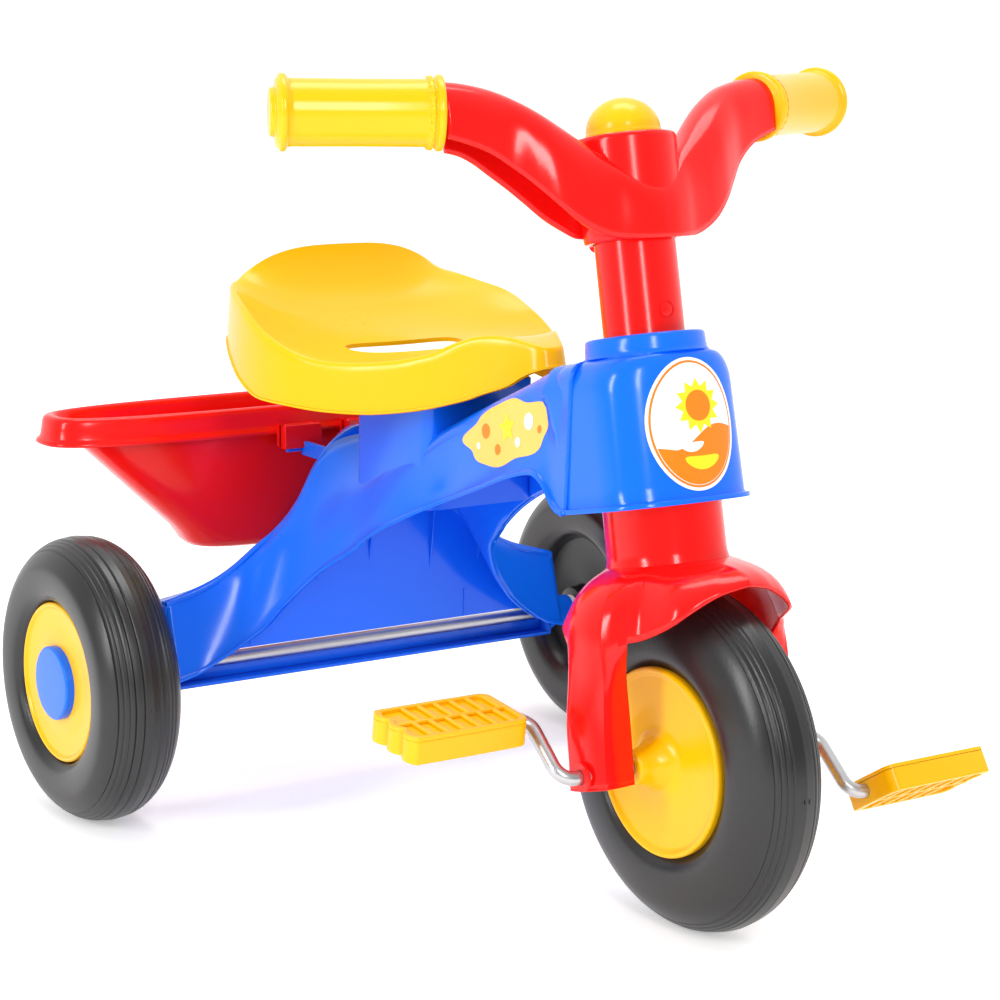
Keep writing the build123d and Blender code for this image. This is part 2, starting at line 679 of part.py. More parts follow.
shelf_top = bucket_rim_z - 42.0
tab_x = 27.0
tab_half_width = 12.0
tab_top = bucket_rim_z - 15.0
tab_y = bucket_y - bucket_half_depth - 9.0
with BuildPart() as body_shell:
    for y, base, points in body_sections:
        inner = [(max(x - sheet, 0), z - sheet) for x, z in points[:-1]]
        inner.append((points[-1][0] - sheet, points[-1][1]))
        with BuildSketch(cross_plane(y)):
            with BuildLine():
                half = [(x, base + z) for x, z in points]
                half_inner = [(x, base + z) for x, z in inner]
                mirrored = [(-x, z) for x, z in half[1:]]
                mirrored_inner = [(-x, z) for x, z in half_inner[1:]]
                Polyline(*reversed(mirrored), *half, *reversed(half_inner), *mirrored_inner, close=True)
            make_face()
    loft(ruled=True)
    # head
    with BuildSketch(steering_plane(housing_bottom)):
        add(housing_outline(housing_half_width, housing_front, housing_rear))
    extrude(amount=housing_height)
    with BuildSketch(steering_plane(housing_bottom)):
        add(housing_outline(housing_half_width + flange_width, housing_front + flange_width, housing_rear))
    extrude(amount=sheet)
    add(column(housing_top, collar_top, collar_radius, 0))
    with BuildSketch(steering_plane(housing_bottom + sheet)):
        add(housing_outline(housing_half_width - sheet, housing_front - sheet, housing_rear - sheet))
    extrude(amount=housing_height - 2 * sheet, mode=Mode.SUBTRACT)
    with BuildSketch(steering_plane(housing_bottom - 1)):
        Circle(lower_bush_outer + running_gap)
    extrude(amount=2 * sheet, mode=Mode.SUBTRACT)
    with BuildSketch(steering_plane(housing_top - 2 * sheet)):
        Circle(upper_bush_outer + running_gap)
    extrude(amount=collar_height + 3 * sheet, mode=Mode.SUBTRACT)
    # rear bulkhead: a channel across the machine with the axle inside
    bell = [(x, rear_wheel_radius + z) for x, z in bell_outline]
    with BuildSketch(cross_plane(rear_wall_y)):
        add(outline([*bell, (rear_wall_half_width, rear_wheel_radius - 16)]))
        offset(amount=-sheet, kind=Kind.INTERSECTION, mode=Mode.SUBTRACT)
    extrude(amount=-rear_wall_depth)
    with BuildSketch(cross_plane(rear_wall_y)):
        add(outline([*bell, (rear_wall_half_width, rear_wheel_radius + rear_wall_open_height)]))
    extrude(amount=-sheet)
    for outward in SIDES.values():
        boss_start = rear_centre + Vector(outward * (rear_wall_half_width - sheet), 0, 0)
        with BuildSketch(Plane(origin=boss_start, z_dir=(outward, 0, 0))):
            Circle(boss_radius)
        extrude(amount=boss_end_x - rear_wall_half_width + sheet)
    with BuildSketch(Plane(origin=rear_centre, z_dir=(1, 0, 0))):
        Circle(rod_bore)
    extrude(amount=rod_end_x, both=True, mode=Mode.SUBTRACT)
    # seat pedestal
    pedestal_y = rear_axle_y - (pedestal_front + pedestal_rear) / 2
    pedestal_length = pedestal_front - pedestal_rear
    pedestal_plane = Plane.XY.offset(rear_wheel_radius + pedestal_height - pedestal_depth)
    with BuildSketch(pedestal_plane):
        with Locations((0, pedestal_y)):
            Rectangle(2 * pedestal_half_width, pedestal_length)
            Rectangle(2 * (pedestal_half_width - sheet), pedestal_length - 2 * sheet, mode=Mode.SUBTRACT)
    extrude(amount=pedestal_depth)
    with BuildSketch(Plane.XY.offset(rear_wheel_radius + pedestal_height - sheet)):
        with Locations((0, pedestal_y)):
            Rectangle(2 * pedestal_half_width, pedestal_length)
    extrude(amount=sheet)
    # shelf and two upright tabs that the bucket hooks over
    shelf_start = rear_wall_y + 1
    shelf_end = tab_y + 2 * sheet
    with BuildSketch(Plane.XY.offset(shelf_top - sheet)):
        with Locations((0, (shelf_start + shelf_end) / 2)):
            Rectangle(2 * (tab_x + tab_half_width), shelf_end - shelf_start)
    extrude(amount=sheet)
    with BuildSketch(Plane.XY.offset(shelf_top - sheet)):
        with Locations((-tab_x, tab_y), (tab_x, tab_y)):
            Rectangle(2 * tab_half_width, sheet)
    extrude(amount=tab_top - shelf_top + sheet)
    # screw holes under the seat
    seat_screw_y = [pedestal_y - pedestal_length / 4, pedestal_y + pedestal_length / 4]
    with BuildSketch(Plane.XY.offset(rear_wheel_radius + pedestal_height - 2 * sheet)):
        with Locations(*[(0, y) for y in seat_screw_y]):
            Circle(screw_radius + running_gap)
    extrude(amount=3 * sheet, mode=Mode.SUBTRACT)
    with BuildSketch(Plane.XY.offset(rear_wheel_radius + pedestal_height - 6 * sheet)):
        with Locations(*[(0, y) for y in seat_screw_y]):
            Circle(screw_head_radius + 2)
    extrude(amount=5 * sheet, mode=Mode.SUBTRACT)
body_shell.part.label = "body_shell"
export_step(body_shell.part, "parts/body_shell.step")

with BuildPart() as head_bush_upper:
    add(column(column_shoulder + loose_gap, collar_top, upper_bush_outer, upper_column_radius + running_gap))
head_bush_upper.part.label = "head_bush_upper"
export_step(head_bush_upper.part, "parts/head_bush_upper.step")

with BuildPart() as head_bush_lower:
    add(column(housing_bottom, housing_bottom + sheet, lower_bush_outer, lower_column_radius + running_gap))
head_bush_lower.part.label = "head_bush_lower"
export_step(head_bush_lower.part, "parts/head_bush_lower.step")

# --- seat -------------------------------------------------------------------------------------------
# plan of the +X half and side profiles, ahead of the rear axle (negative behind) and above it
seat_plan = [(0, 249), (11, 229), (26, 205), (43, 183), (62, 160), (89, 122), (110.6, 86), (117, 52),
             (114, 25), (104, -3), (90, -31), (71, -36), (0, -36)]
seat_top = [(252, 248), (216, 253), (194, 251), (171, 238), (144, 231), (97, 229), (52, 243), (25, 252),
            (-3, 261), (-31, 275), (-40, 291)]
seat_under = [(-40, 230), (-3, 218), (52, 198), (87, 194), (137, 194), (172, 201), (202, 213), (216, 220),
              (232, 227), (252, 237)]
seat_slot_half_width = 50.0
seat_slot_length = 26.0
seat_slot_ahead = 54.0
seat_boss_radius = 8.0
seat_screw_bite = 18.0


def seat_block(inset):
    """Solid between the plan outline and the side profiles of the seat, all drawn in by the inset."""
    with BuildPart() as block:
        with BuildSketch(Plane.XY.offset(rear_wheel_radius)):
            with BuildLine():
                Polyline(*both_sides([(x, rear_axle_y - y) for x, y in seat_plan]), close=True)
            make_face()
            if inset > 0:
                offset(amount=-inset, kind=Kind.INTERSECTION, mode=Mode.REPLACE)
        extrude(amount=400)
        upper = [(rear_axle_y - y, rear_wheel_radius + z - inset) for y, z in seat_top]
        lower = [(rear_axle_y - y, rear_wheel_radius + z - 4 * inset) for y, z in seat_under]
        with BuildSketch(side_plane(0)):
            with BuildLine():
                Polyline(*upper, *lower, close=True)
            make_face()
        extrude(amount=200, both=True, mode=Mode.INTERSECT)
    return block.part


with BuildPart() as seat:
    add(seat_block(0))
    add(seat_block(sheet), mode=Mode.SUBTRACT)
    with BuildSketch(Plane.XY.offset(rear_wheel_radius + pedestal_height)):
        with Locations(*[(0, y) for y in seat_screw_y]):
            Circle(seat_boss_radius)
    extrude(amount=229 - sheet / 2 - pedestal_height)
    with BuildSketch(Plane.XY.offset(rear_wheel_radius + pedestal_height)):
        with Locations(*[(0, y) for y in seat_screw_y]):
            Circle(screw_radius + running_gap)
    extrude(amount=seat_screw_bite + 1, mode=Mode.SUBTRACT)
    with BuildSketch(Plane.XY.offset(rear_wheel_radius)):
        with Locations((0, rear_axle_y - seat_slot_ahead)):
            Rectangle(2 * seat_slot_half_width, seat_slot_length)
    extrude(amount=400, mode=Mode.SUBTRACT)
seat.part.label = "seat"
export_step(seat.part, "parts/seat.step")

with BuildPart() as seat_screws:
    screw_top = rear_wheel_radius + pedestal_height - sheet
    with BuildSketch(Plane.XY.offset(screw_top)):
        with Locations(*[(0, y) for y in seat_screw_y]):
            Circle(screw_radius)
    extrude(amount=seat_screw_bite + sheet)
    with BuildSketch(Plane.XY.offset(screw_top - sheet)):
        with Locations(*[(0, y) for y in seat_screw_y]):
            Circle(screw_head_radius)
    extrude(amount=sheet)
seat_screws.part.label = "seat_screws"
export_step(seat_screws.part, "parts/seat_screws.step")

# --- bucket -----------------------------------------------------------------------------------------
bucket_corner = 30.0
bucket_rim_width = 7.0
bucket_lip_depth = 20.0
bucket_bottom_half_width = 92.0
bucket_bottom_half_depth = 27.0
bucket_bottom_shift = -7.0
bucket_bottom_corner = 12.0
sleeve_wall = 3.0
with BuildPart() as bucket:
    bin_half_width = bucket_half_width - bucket_rim_width
    bin_half_depth = bucket_half_depth - bucket_rim_width
    for inset in (0.0, sheet):
        with BuildSketch(Plane.XY.offset(bucket_rim_z)):
            with Locations((0, bucket_y)):
                RectangleRounded(2 * (bin_half_width - inset), 2 * (bin_half_depth - inset),
                                 bucket_corner - bucket_rim_width)
        with BuildSketch(Plane.XY.offset(bucket_floor_z + inset)):
            with Locations((0, bucket_y + bucket_bottom_shift)):
                RectangleRounded(2 * (bucket_bottom_half_width - inset),
                                 2 * (bucket_bottom_half_depth - inset),
                                 bucket_bottom_corner)
        loft(ruled=True, mode=Mode.ADD if inset == 0 else Mode.SUBTRACT)
    with BuildSketch(Plane.XY.offset(bucket_rim_z - sheet)):
        with Locations((0, bucket_y)):
            RectangleRounded(2 * bucket_half_width, 2 * bucket_half_depth, bucket_corner)
            RectangleRounded(2 * bin_half_width - 2 * sheet, 2 * bin_half_depth - 2 * sheet,
                             bucket_corner - bucket_rim_width, mode=Mode.SUBTRACT)
    extrude(amount=sheet)
    with BuildSketch(Plane.XY.offset(bucket_rim_z - bucket_lip_depth)):
        with Locations((0, bucket_y)):
            RectangleRounded(2 * bucket_half_width, 2 * bucket_half_depth, bucket_corner)
            RectangleRounded(2 * (bucket_half_width - sheet), 2 * (bucket_half_depth - sheet),
                             bucket_corner - sheet, mode=Mode.SUBTRACT)
    extrude(amount=bucket_lip_depth)
    # two sleeves on the front of the rim that drop over the tabs of the body
    sleeve_y = tab_y
    sleeve_half_depth = sheet / 2 + loose_gap + sleeve_wall
    sleeve_back = bucket_y - bucket_half_depth + 1
    sleeve_front = sleeve_y - sleeve_half_depth
    with BuildSketch(Plane.XY.offset(shelf_top + loose_gap)):
        for side in SIDES.values():
            with Locations((side * tab_x, (sleeve_front + sleeve_back) / 2)):
                Rectangle(2 * (tab_half_width + loose_gap + sleeve_wall), sleeve_back - sleeve_front)
            with Locations((side * tab_x, sleeve_y)):
                Rectangle(2 * (tab_half_width + loose_gap), sheet + 2 * loose_gap, mode=Mode.SUBTRACT)
    extrude(amount=bucket_rim_z - shelf_top - loose_gap - sheet)
bucket.part.label = "bucket"
export_step(bucket.part, "parts/bucket.step")
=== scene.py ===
"""Looks of the children's tricycle: moulded shells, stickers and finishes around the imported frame."""
import json
import math
import bpy
import bmesh
from mathutils import Matrix, Vector
from mathutils.bvhtree import BVHTree


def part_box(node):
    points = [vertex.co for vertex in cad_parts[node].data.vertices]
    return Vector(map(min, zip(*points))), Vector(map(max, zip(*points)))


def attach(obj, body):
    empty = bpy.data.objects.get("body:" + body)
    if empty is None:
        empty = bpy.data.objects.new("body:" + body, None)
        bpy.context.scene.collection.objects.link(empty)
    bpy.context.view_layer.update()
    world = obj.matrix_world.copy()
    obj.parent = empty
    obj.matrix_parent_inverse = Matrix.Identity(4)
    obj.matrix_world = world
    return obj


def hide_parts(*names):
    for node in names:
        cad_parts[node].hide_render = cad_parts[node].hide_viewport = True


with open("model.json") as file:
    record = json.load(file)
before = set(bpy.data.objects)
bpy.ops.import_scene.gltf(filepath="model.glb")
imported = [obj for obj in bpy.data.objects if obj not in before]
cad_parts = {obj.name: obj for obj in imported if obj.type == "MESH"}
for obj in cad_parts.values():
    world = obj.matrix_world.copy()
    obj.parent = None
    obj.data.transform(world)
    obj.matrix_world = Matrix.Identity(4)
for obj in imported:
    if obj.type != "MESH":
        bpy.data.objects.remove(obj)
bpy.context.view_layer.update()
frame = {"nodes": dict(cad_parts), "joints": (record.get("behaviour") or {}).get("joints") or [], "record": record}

# ---------------------------------------------------------------- places
def middle(node):
    """Middle of a node's box, in millimetres."""
    low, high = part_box(node)
    return (low + high) / 2 * 1000


HUB = middle("front_tyre")
REAR = middle("rear_tyre_right")
FY, RY = HUB.y, REAR.y
SIDES = (("left", 1), ("right", -1))
X_AXIS = Vector((1, 0, 0))
steer = next(j for j in frame["joints"] if j["name"] == "steer")
AXIS = Vector(steer["axis"]).normalized()
BACK = Vector((0, AXIS.z, -AXIS.y))
ORIGIN = Vector(steer["pos_m"]) * 1000


def W(x, y, z):
    """Millimetres, y measured behind the front axle."""
    return Vector((x, y + FY, z))


def S(x, back, up):
    """Point beside, behind and along the steering axis."""
    return ORIGIN + Vector((x, 0, 0)) + BACK * back + AXIS * up


# ---------------------------------------------------------------- materials
def plastic(name, colour, rough=0.18, coat=0.05, bump=0.04, grain=220.0, blotch=0.05, spec=0.28):
    """Plain finish whose roughness varies by blotch, with a fine bump of the given grain."""
    m = bpy.data.materials.new(name)
    m.use_nodes = True
    nt = m.node_tree
    b = nt.nodes["Principled BSDF"]
    b.inputs["Base Color"].default_value = (*colour, 1)
    b.inputs["Coat Weight"].default_value = coat
    b.inputs["Coat Roughness"].default_value = 0.06
    b.inputs["Specular IOR Level"].default_value = spec
    co = nt.nodes.new("ShaderNodeTexCoord")
    n1 = nt.nodes.new("ShaderNodeTexNoise")
    n1.inputs["Scale"].default_value = 9.0
    n1.inputs["Detail"].default_value = 4.0
    nt.links.new(co.outputs["Object"], n1.inputs["Vector"])
    mr = nt.nodes.new("ShaderNodeMapRange")
    mr.inputs["From Min"].default_value = 0.3
    mr.inputs["From Max"].default_value = 0.7
    mr.inputs["To Min"].default_value = rough - blotch
    mr.inputs["To Max"].default_value = rough + blotch
    nt.links.new(n1.outputs["Fac"], mr.inputs["Value"])
    nt.links.new(mr.outputs["Result"], b.inputs["Roughness"])
    n2 = nt.nodes.new("ShaderNodeTexNoise")
    n2.inputs["Scale"].default_value = grain
    n2.inputs["Detail"].default_value = 2.0
    nt.links.new(co.outputs["Object"], n2.inputs["Vector"])
    bp = nt.nodes.new("ShaderNodeBump")
    bp.inputs["Strength"].default_value = bump
    bp.inputs["Distance"].default_value = 0.0004
    nt.links.new(n2.outputs["Fac"], bp.inputs["Height"])
    nt.links.new(bp.outputs["Normal"], b.inputs["Normal"])
    return m


RED = plastic("red_plastic", (0.86, 0.006, 0.005))
BLUE = plastic("blue_plastic", (0.004, 0.14, 0.90))
YELLOW = plastic("yellow_plastic", (0.93, 0.475, 0.001), rough=0.24)
BLACK = plastic("black_tyre", (0.008, 0.008, 0.009), rough=0.34, coat=0.0, bump=0.2, grain=500.0, spec=0.55)
WHITE = plastic("white_plastic", (0.8, 0.8, 0.78), rough=0.4, coat=0.0)
STEEL = plastic("zinc_steel", (0.52, 0.52, 0.53), rough=0.34, coat=0.0, bump=0.3, grain=350.0, blotch=0.1)
STEEL.node_tree.nodes["Principled BSDF"].inputs["Metallic"].default_value = 1.0
# painted shade: near-black for the shade inside the tyres' vent holes
VENT_HOLE_SHADE = plastic("dark_hole", (0.002, 0.002, 0.002), rough=0.8, coat=0.0)
ST_WHITE = plastic("sticker_white", (0.9, 0.9, 0.88), rough=0.3)
ST_ORANGE = plastic("sticker_orange", (0.90, 0.22, 0.01), rough=0.3)
ST_LIGHT = plastic("sticker_light", (0.92, 0.55, 0.12), rough=0.3)
ST_YELLOW = plastic("sticker_yellow", (0.95, 0.75, 0.02), rough=0.3)

SLOT = {"red_plastic": RED, "blue_plastic": BLUE, "yellow_plastic": YELLOW, "black_tyre": BLACK,
        "white_plastic": WHITE, "steel": STEEL, "soft_rubber": WHITE}
for row in frame["record"]["subparts"]:
    mesh = frame["nodes"][row["node"]].data
    mesh.materials.clear()
    mesh.materials.append(SLOT[row["material_slot"]])


# ---------------------------------------------------------------- mesh helpers
def refine(points, steps):
    """Smooth curve through the points, the same number of steps in every span."""
    out = []
    n = len(points)
    for i in range(n - 1):
        p1, p2 = points[i], points[i + 1]
        p0 = points[i - 1] if i else p1 + (p1 - p2)
        p3 = points[i + 2] if i + 2 < n else p2 + (p2 - p1)
        d0, d1, d2 = [max((b - a).length, 1e-6) ** 0.5 for a, b in ((p0, p1), (p1, p2), (p2, p3))]
        m1 = (p2 - p1) + d1 * ((p1 - p0) / d0 - (p2 - p0) / (d0 + d1))
        m2 = (p2 - p1) + d1 * ((p3 - p2) / d2 - (p3 - p1) / (d1 + d2))
        for k in range(steps):
            t = k / steps
            out.append((2 * t ** 3 - 3 * t * t + 1) * p1 + (t ** 3 - 2 * t * t + t) * m1
                       + (3 * t * t - 2 * t ** 3) * p2 + (t ** 3 - t * t) * m2)
    out.append(points[-1])
    return out


def spread(points, count):
    """The same curve with evenly spaced points."""
    lengths = [0.0]
    for a, b in zip(points, points[1:]):
        lengths.append(lengths[-1] + (b - a).length)
    out = []
    j = 0
    for i in range(count):
        s = lengths[-1] * i / (count - 1)
        while j < len(lengths) - 2 and lengths[j + 1] < s:
            j += 1
        span = max(lengths[j + 1] - lengths[j], 1e-9)
        out.append(points[j].lerp(points[j + 1], min(1, max(0, (s - lengths[j]) / span))))
    return out


def fillet(points, radius, steps=5):
    """Rounds the corners of an open outline."""
    pts = [Vector(p) for p in points]
    out = [pts[0]]
    for a, b, c in zip(pts, pts[1:], pts[2:]):
        u, v = (a - b), (c - b)
        cut = min(radius, u.length * 0.45, v.length * 0.45)
        p, q = b + u.normalized() * cut, b + v.normalized() * cut
        for k in range(steps + 1):
            t = k / steps
            out.append(p * (1 - t) ** 2 + b * 2 * t * (1 - t) + q * t * t)
    out.append(pts[-1])
    return out


def rounded(points, radius, steps):
    """Filleted profile of a turned piece, from (distance along the axis, radius) pairs."""
    return [(p.x, p.y) for p in fillet([(p[0], p[1], 0) for p in points], radius, steps)]


def grid(rows, wrap=False):
    """Vertices and faces of a sheet from equal rows of points."""
    n = len(rows[0])
    verts = [p for r in rows for p in r]
    faces = []
    for i in range(len(rows) - 1):
        for j in range(n if wrap else n - 1):
            k = (j + 1) % n
            faces.append((i * n + j, i * n + k, (i + 1) * n + k, (i + 1) * n + j))
    return verts, faces


def make(name, parts, material, body, nodes=(), inside=None, wall=0.0, sharp=40, edge=0.0, tidy=0.02):
    """A piece from one or more (vertices, faces) sheets in millimetres."""
    bm = bmesh.new()
    for verts, faces in parts:
        vs = [bm.verts.new(v / 1000) for v in verts]
        for f in faces:
            if len(set(f)) > 2:
                try:
                    bm.faces.new([vs[i] for i in f])
                except ValueError:
                    pass
    bmesh.ops.remove_doubles(bm, verts=bm.verts, dist=tidy / 1000)
    bmesh.ops.dissolve_degenerate(bm, edges=bm.edges, dist=1e-6)
    bmesh.ops.recalc_face_normals(bm, faces=bm.faces)
    if inside is not None:
        c = inside / 1000
        s = sum((f.calc_center_median() - c).dot(f.normal) * f.calc_area() for f in bm.faces)
        if s < 0:
            bmesh.ops.reverse_faces(bm, faces=bm.faces)
    mesh = bpy.data.meshes.new(name)
    bm.to_mesh(mesh)
    bm.free()
    mesh.materials.append(material)
    ob = bpy.data.objects.new(name, mesh)
    bpy.context.scene.collection.objects.link(ob)
    mesh.shade_smooth()
    if wall:
        md = ob.modifiers.new("wall", "SOLIDIFY")
        md.thickness = wall / 1000
        md.offset = -1
        md.use_even_offset = False
        md.use_quality_normals = True
    if edge:
        md = ob.modifiers.new("edge", "BEVEL")
        md.width = edge / 1000
        md.segments = 3
        md.limit_method = "ANGLE"
        md.angle_limit = math.radians(40)
    mesh.set_sharp_from_angle(angle=math.radians(sharp))
    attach(ob, body)
    if nodes:
        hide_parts(*nodes)
    return ob


def lathe(profile, centre, axis, steps=96, up=Vector((0, 0, 1))):
    """Turned sheet from (distance along the axis, radius) points."""
    a = axis.normalized()
    u = (up - a * up.dot(a)).normalized()
    v = a.cross(u)
    rows = []
    for k in range(steps):
        t = 2 * math.pi * k / steps
        d = u * math.cos(t) + v * math.sin(t)
        rows.append([centre + a * p[0] + d * p[1] for p in profile])
    rows.append(rows[0])
    return grid(rows)


def block(corners_low, corners_high, place):
    """Box between two corners, placed by a function of three numbers."""
    (x0, y0, z0), (x1, y1, z1) = corners_low, corners_high
    v = [place(x, y, z) for z in (z0, z1) for y in (y0, y1) for x in (x0, x1)]
    return v, [(0, 2, 3, 1), (4, 5, 7, 6), (0, 1, 5, 4), (2, 6, 7, 3), (0, 4, 6, 2), (1, 3, 7, 5)]


def prism(outline, depth):
    """Solid between an outline and its copy moved by depth."""
    n = len(outline)
    v = list(outline) + [p + depth for p in outline]
    f = [(i, (i + 1) % n, n + (i + 1) % n, n + i) for i in range(n)]
    return v, f + [tuple(range(n - 1, -1, -1)), tuple(range(n, 2 * n))]


def rod(a, b, r, steps=24, round_end=0.0):
    """Round bar between two points, with its ends chamfered by round_end."""
    d = b - a
    n = d.length
    e = round_end
    prof = [(0, 0), (0, r), (n, r), (n, 0)]
    if e:
        prof = [(0, 0), (0, r - e), (e, r), (n - e, r), (n, r - e), (n, 0)]
    return lathe(prof, a, d, steps, up=Vector((0.3, 0.2, 1)))


def point(x, y, z):
    """Place function of a block in the frame's own axes."""
    return Vector((x, y, z))


# ---------------------------------------------------------------- wheels
def tread(half, radius, seat, grooves, shoulder):
    """Outer line of a wheel from one disc seat to the other, with thin grooves round the tread."""
    pts = [Vector((half * w, radius - h, 0)) for w, h in shoulder]
    pts = [Vector((half - 4.5, seat, 0)), Vector((half - 1.2, seat + 5, 0))] + pts + [Vector((0, radius, 0))]
    line = refine(pts, 8)
    line = line + [Vector((-p.x, p.y, 0)) for p in reversed(line[:-1])]
    line = spread(line, 240)
    out = []
    for p in line:
        cut = 0.0
        for g, deep in grooves:
            cut = max(cut, deep * max(0.0, 1 - abs(p.x - g) / 0.8))
        inward = Vector((-p.x * 0.5, -radius * 0.5, 0)).normalized()
        out.append(p + inward * cut)
    return [(p.x, p.y) for p in out]


FRONT_GROOVES = [(g, 0.9) for g in (-17.5, -14.5, -11.5, -8, 8, 11.5, 14.5, 17.5)]
REAR_GROOVES = [(g, 0.9) for g in (-19, -15.5, -12, -6, 6, 12, 15.5, 19, 22)]
ROUND = ((1.0, 38), (0.95, 26), (0.83, 15.5), (0.62, 7.6), (0.34, 2.1))
SQUARE = ((1.0, 21), (0.92, 15), (0.72, 7.6), (0.4, 1.9))
FRONT_RADIUS, REAR_RADIUS = 110, 100
CRANK_BORE, AXLE_BORE = 4.7, 5.3
REAR_X = 222.0
TYRE_STEPS, DISC_STEPS = 168, 120


def vent(name, ring_name, centre, radius, body):
    """Blow-moulding hole in the front of a tread, and the raised ring round it; the hole is not cut, a near-black
    disc on the tread is painted shade for the inside of the hole.
    """
    hole_shade = rod(centre + Vector((0, 2 - radius, 0)), centre + Vector((0, 0.25 - radius, 0)), 2.2)
    ring = lathe([(-1.4, 3.4), (-0.4, 3.4), (-0.4, 2.4), (-3, 2.4)], centre + Vector((0, -radius, 0)),
                 Vector((0, -1, 0)), 20)
    make(name, [hole_shade], VENT_HOLE_SHADE, body)
    make(ring_name, [ring], BLACK, body)


line = tread(28, FRONT_RADIUS, 61, FRONT_GROOVES, ROUND)
profile = [(21, CRANK_BORE), (21, 58)] + line + [(-21, 58), (-21, CRANK_BORE)]
make("front_wheel_tyre", [lathe(profile, HUB, X_AXIS, TYRE_STEPS)], BLACK, "front_wheel",
     ["front_tyre"], inside=HUB)
vent("front_vent", "front_vent_ring", HUB, FRONT_RADIUS, "front_wheel")
for side, out in SIDES:
    disc = rounded([(21, 59.5), (26.4, 59.8), (28.0, 58.6), (27.6, 56.5), (25.2, 54.5), (24.4, 36),
                    (25.4, 22), (28.5, 17), (35.5, 13), (40, 11.6), (47.5, 10.4), (47.5, CRANK_BORE)], 2.2,
                   4)
    make("front_disc_face_" + side, [lathe(disc, HUB, X_AXIS * out, DISC_STEPS)], YELLOW, "front_wheel",
         ["front_disc_" + side], sharp=60)

rear_line = tread(30, REAR_RADIUS, 58, REAR_GROOVES, SQUARE)
for side, out in SIDES:
    c = Vector((out * REAR_X, RY, REAR.z))
    way = X_AXIS * out
    wheel = "rear_wheel_l" if out > 0 else "rear_wheel_r"
    profile = [(18, AXLE_BORE), (18, 55)] + rear_line
    profile += [(-22, 55.5), (-14.5, 53), (-14, 20), (-16, 17), (-29.5, 15.5), (-30, 14.5), (-30, AXLE_BORE)]
    make("rear_wheel_tyre_" + side, [lathe(profile, c, way, TYRE_STEPS)], BLACK, wheel,
         ["rear_tyre_" + side], inside=c)
    vent("rear_vent_" + side, "rear_vent_ring_" + side, c, REAR_RADIUS, wheel)
    disc = rounded([(18, 55.8), (23.6, 56), (24.9, 55), (24.9, 53.2), (23.0, 51.5), (22.6, 40), (23.4, 28),
                    (23.4, 22)], 1.6, 4)
    make("rear_disc_face_" + side, [lathe(disc, c, way, DISC_STEPS)], YELLOW, wheel,
         ["rear_disc_" + side], sharp=60)
    cap = rounded([(22.5, 25.8), (28.6, 25.8), (29.5, 24.4), (29.6, 12), (29.6, 0)], 0.9, 4)
    make("rear_cap_face_" + side, [lathe(cap, c, way)], BLUE, wheel, ["rear_cap_" + side],
         sharp=60)

# ---------------------------------------------------------------- body: head, saddle tube and arms
WALL = 3.0
HEAD_LOW, HEAD_TOP, COLLAR_TOP = 157.0, 253.0, 263.0


def head_loop(half, front, rear, up, count=120):
    """Plan of the steering housing at one height up the axis: rounded front, straight sides."""
    pts = []
    for i in range(61):
        a = -math.pi / 2 + math.pi * i / 60
        e = 2 / 2.35
        x = half * math.copysign(abs(math.sin(a)) ** e, math.sin(a))
        y = -6 - (front - 6) * abs(math.cos(a)) ** e
        pts.append(Vector((x, y, 0)))
    side = [Vector((half, -6 + (rear + 6) * k / 10, 0)) for k in range(1, 11)]
    rear_line = [Vector((half - 2 * half * k / 10, rear, 0)) for k in range(1, 10)]
    other = [Vector((-half, rear - (rear + 6) * k / 10, 0)) for k in range(0, 10)]
    loop = pts + side + rear_line + other
    loop = spread(loop + [loop[0]], count + 1)[:-1]
    return [S(p.x, p.y, up) for p in loop]


def ring_loop(radius, up, like):
    """Circle about the steering axis whose points face those of another loop."""
    out = []
    for p in like:
        d = p - ORIGIN
        a = math.atan2(d.x, -d.dot(BACK))
        out.append(S(radius * math.sin(a), -radius * math.cos(a), up))
    return out


rows = [head_loop(52, 41.8, 30, HEAD_LOW), head_loop(55, 45, 30, HEAD_LOW),
        head_loop(55, 45, 30, HEAD_LOW + 0.4), head_loop(55, 45, 30, HEAD_LOW + 2.6),
        head_loop(54.6, 44.6, 30, HEAD_LOW + 3.0), head_loop(52.4, 42.4, 30, HEAD_LOW + 3.4),
        head_loop(52, 42, 30, HEAD_LOW + 4.4)]
for k in range(1, 9):
    up = HEAD_LOW + 4.4 + (HEAD_TOP - 24 - HEAD_LOW - 4.4) * k / 8
    s = 1.6 * k / 8
    rows.append(head_loop(52 - s, 42 - s, 30 + 16 * (k / 8) ** 2, up))
for k in range(1, 9):
    a = math.pi / 2 * k / 8
    drop = 1 - math.cos(a)
    rows.append(head_loop(50.4 - 13 * drop, 40.4 - 4 * drop, 46 - 6 * drop, HEAD_TOP - 24 + 21 * math.sin(a)))
like = rows[-1]
for r, up in ((39.2, HEAD_TOP - 2.0), (38.2, HEAD_TOP - 0.6), (38, HEAD_TOP + 1.5), (37.6, COLLAR_TOP - 2.2),
              (37.0, COLLAR_TOP - 0.7), (35.6, COLLAR_TOP), (26.3, COLLAR_TOP), (26.3, COLLAR_TOP - 12)):
    rows.append(ring_loop(r, up, like))
head = grid(rows, wrap=True)

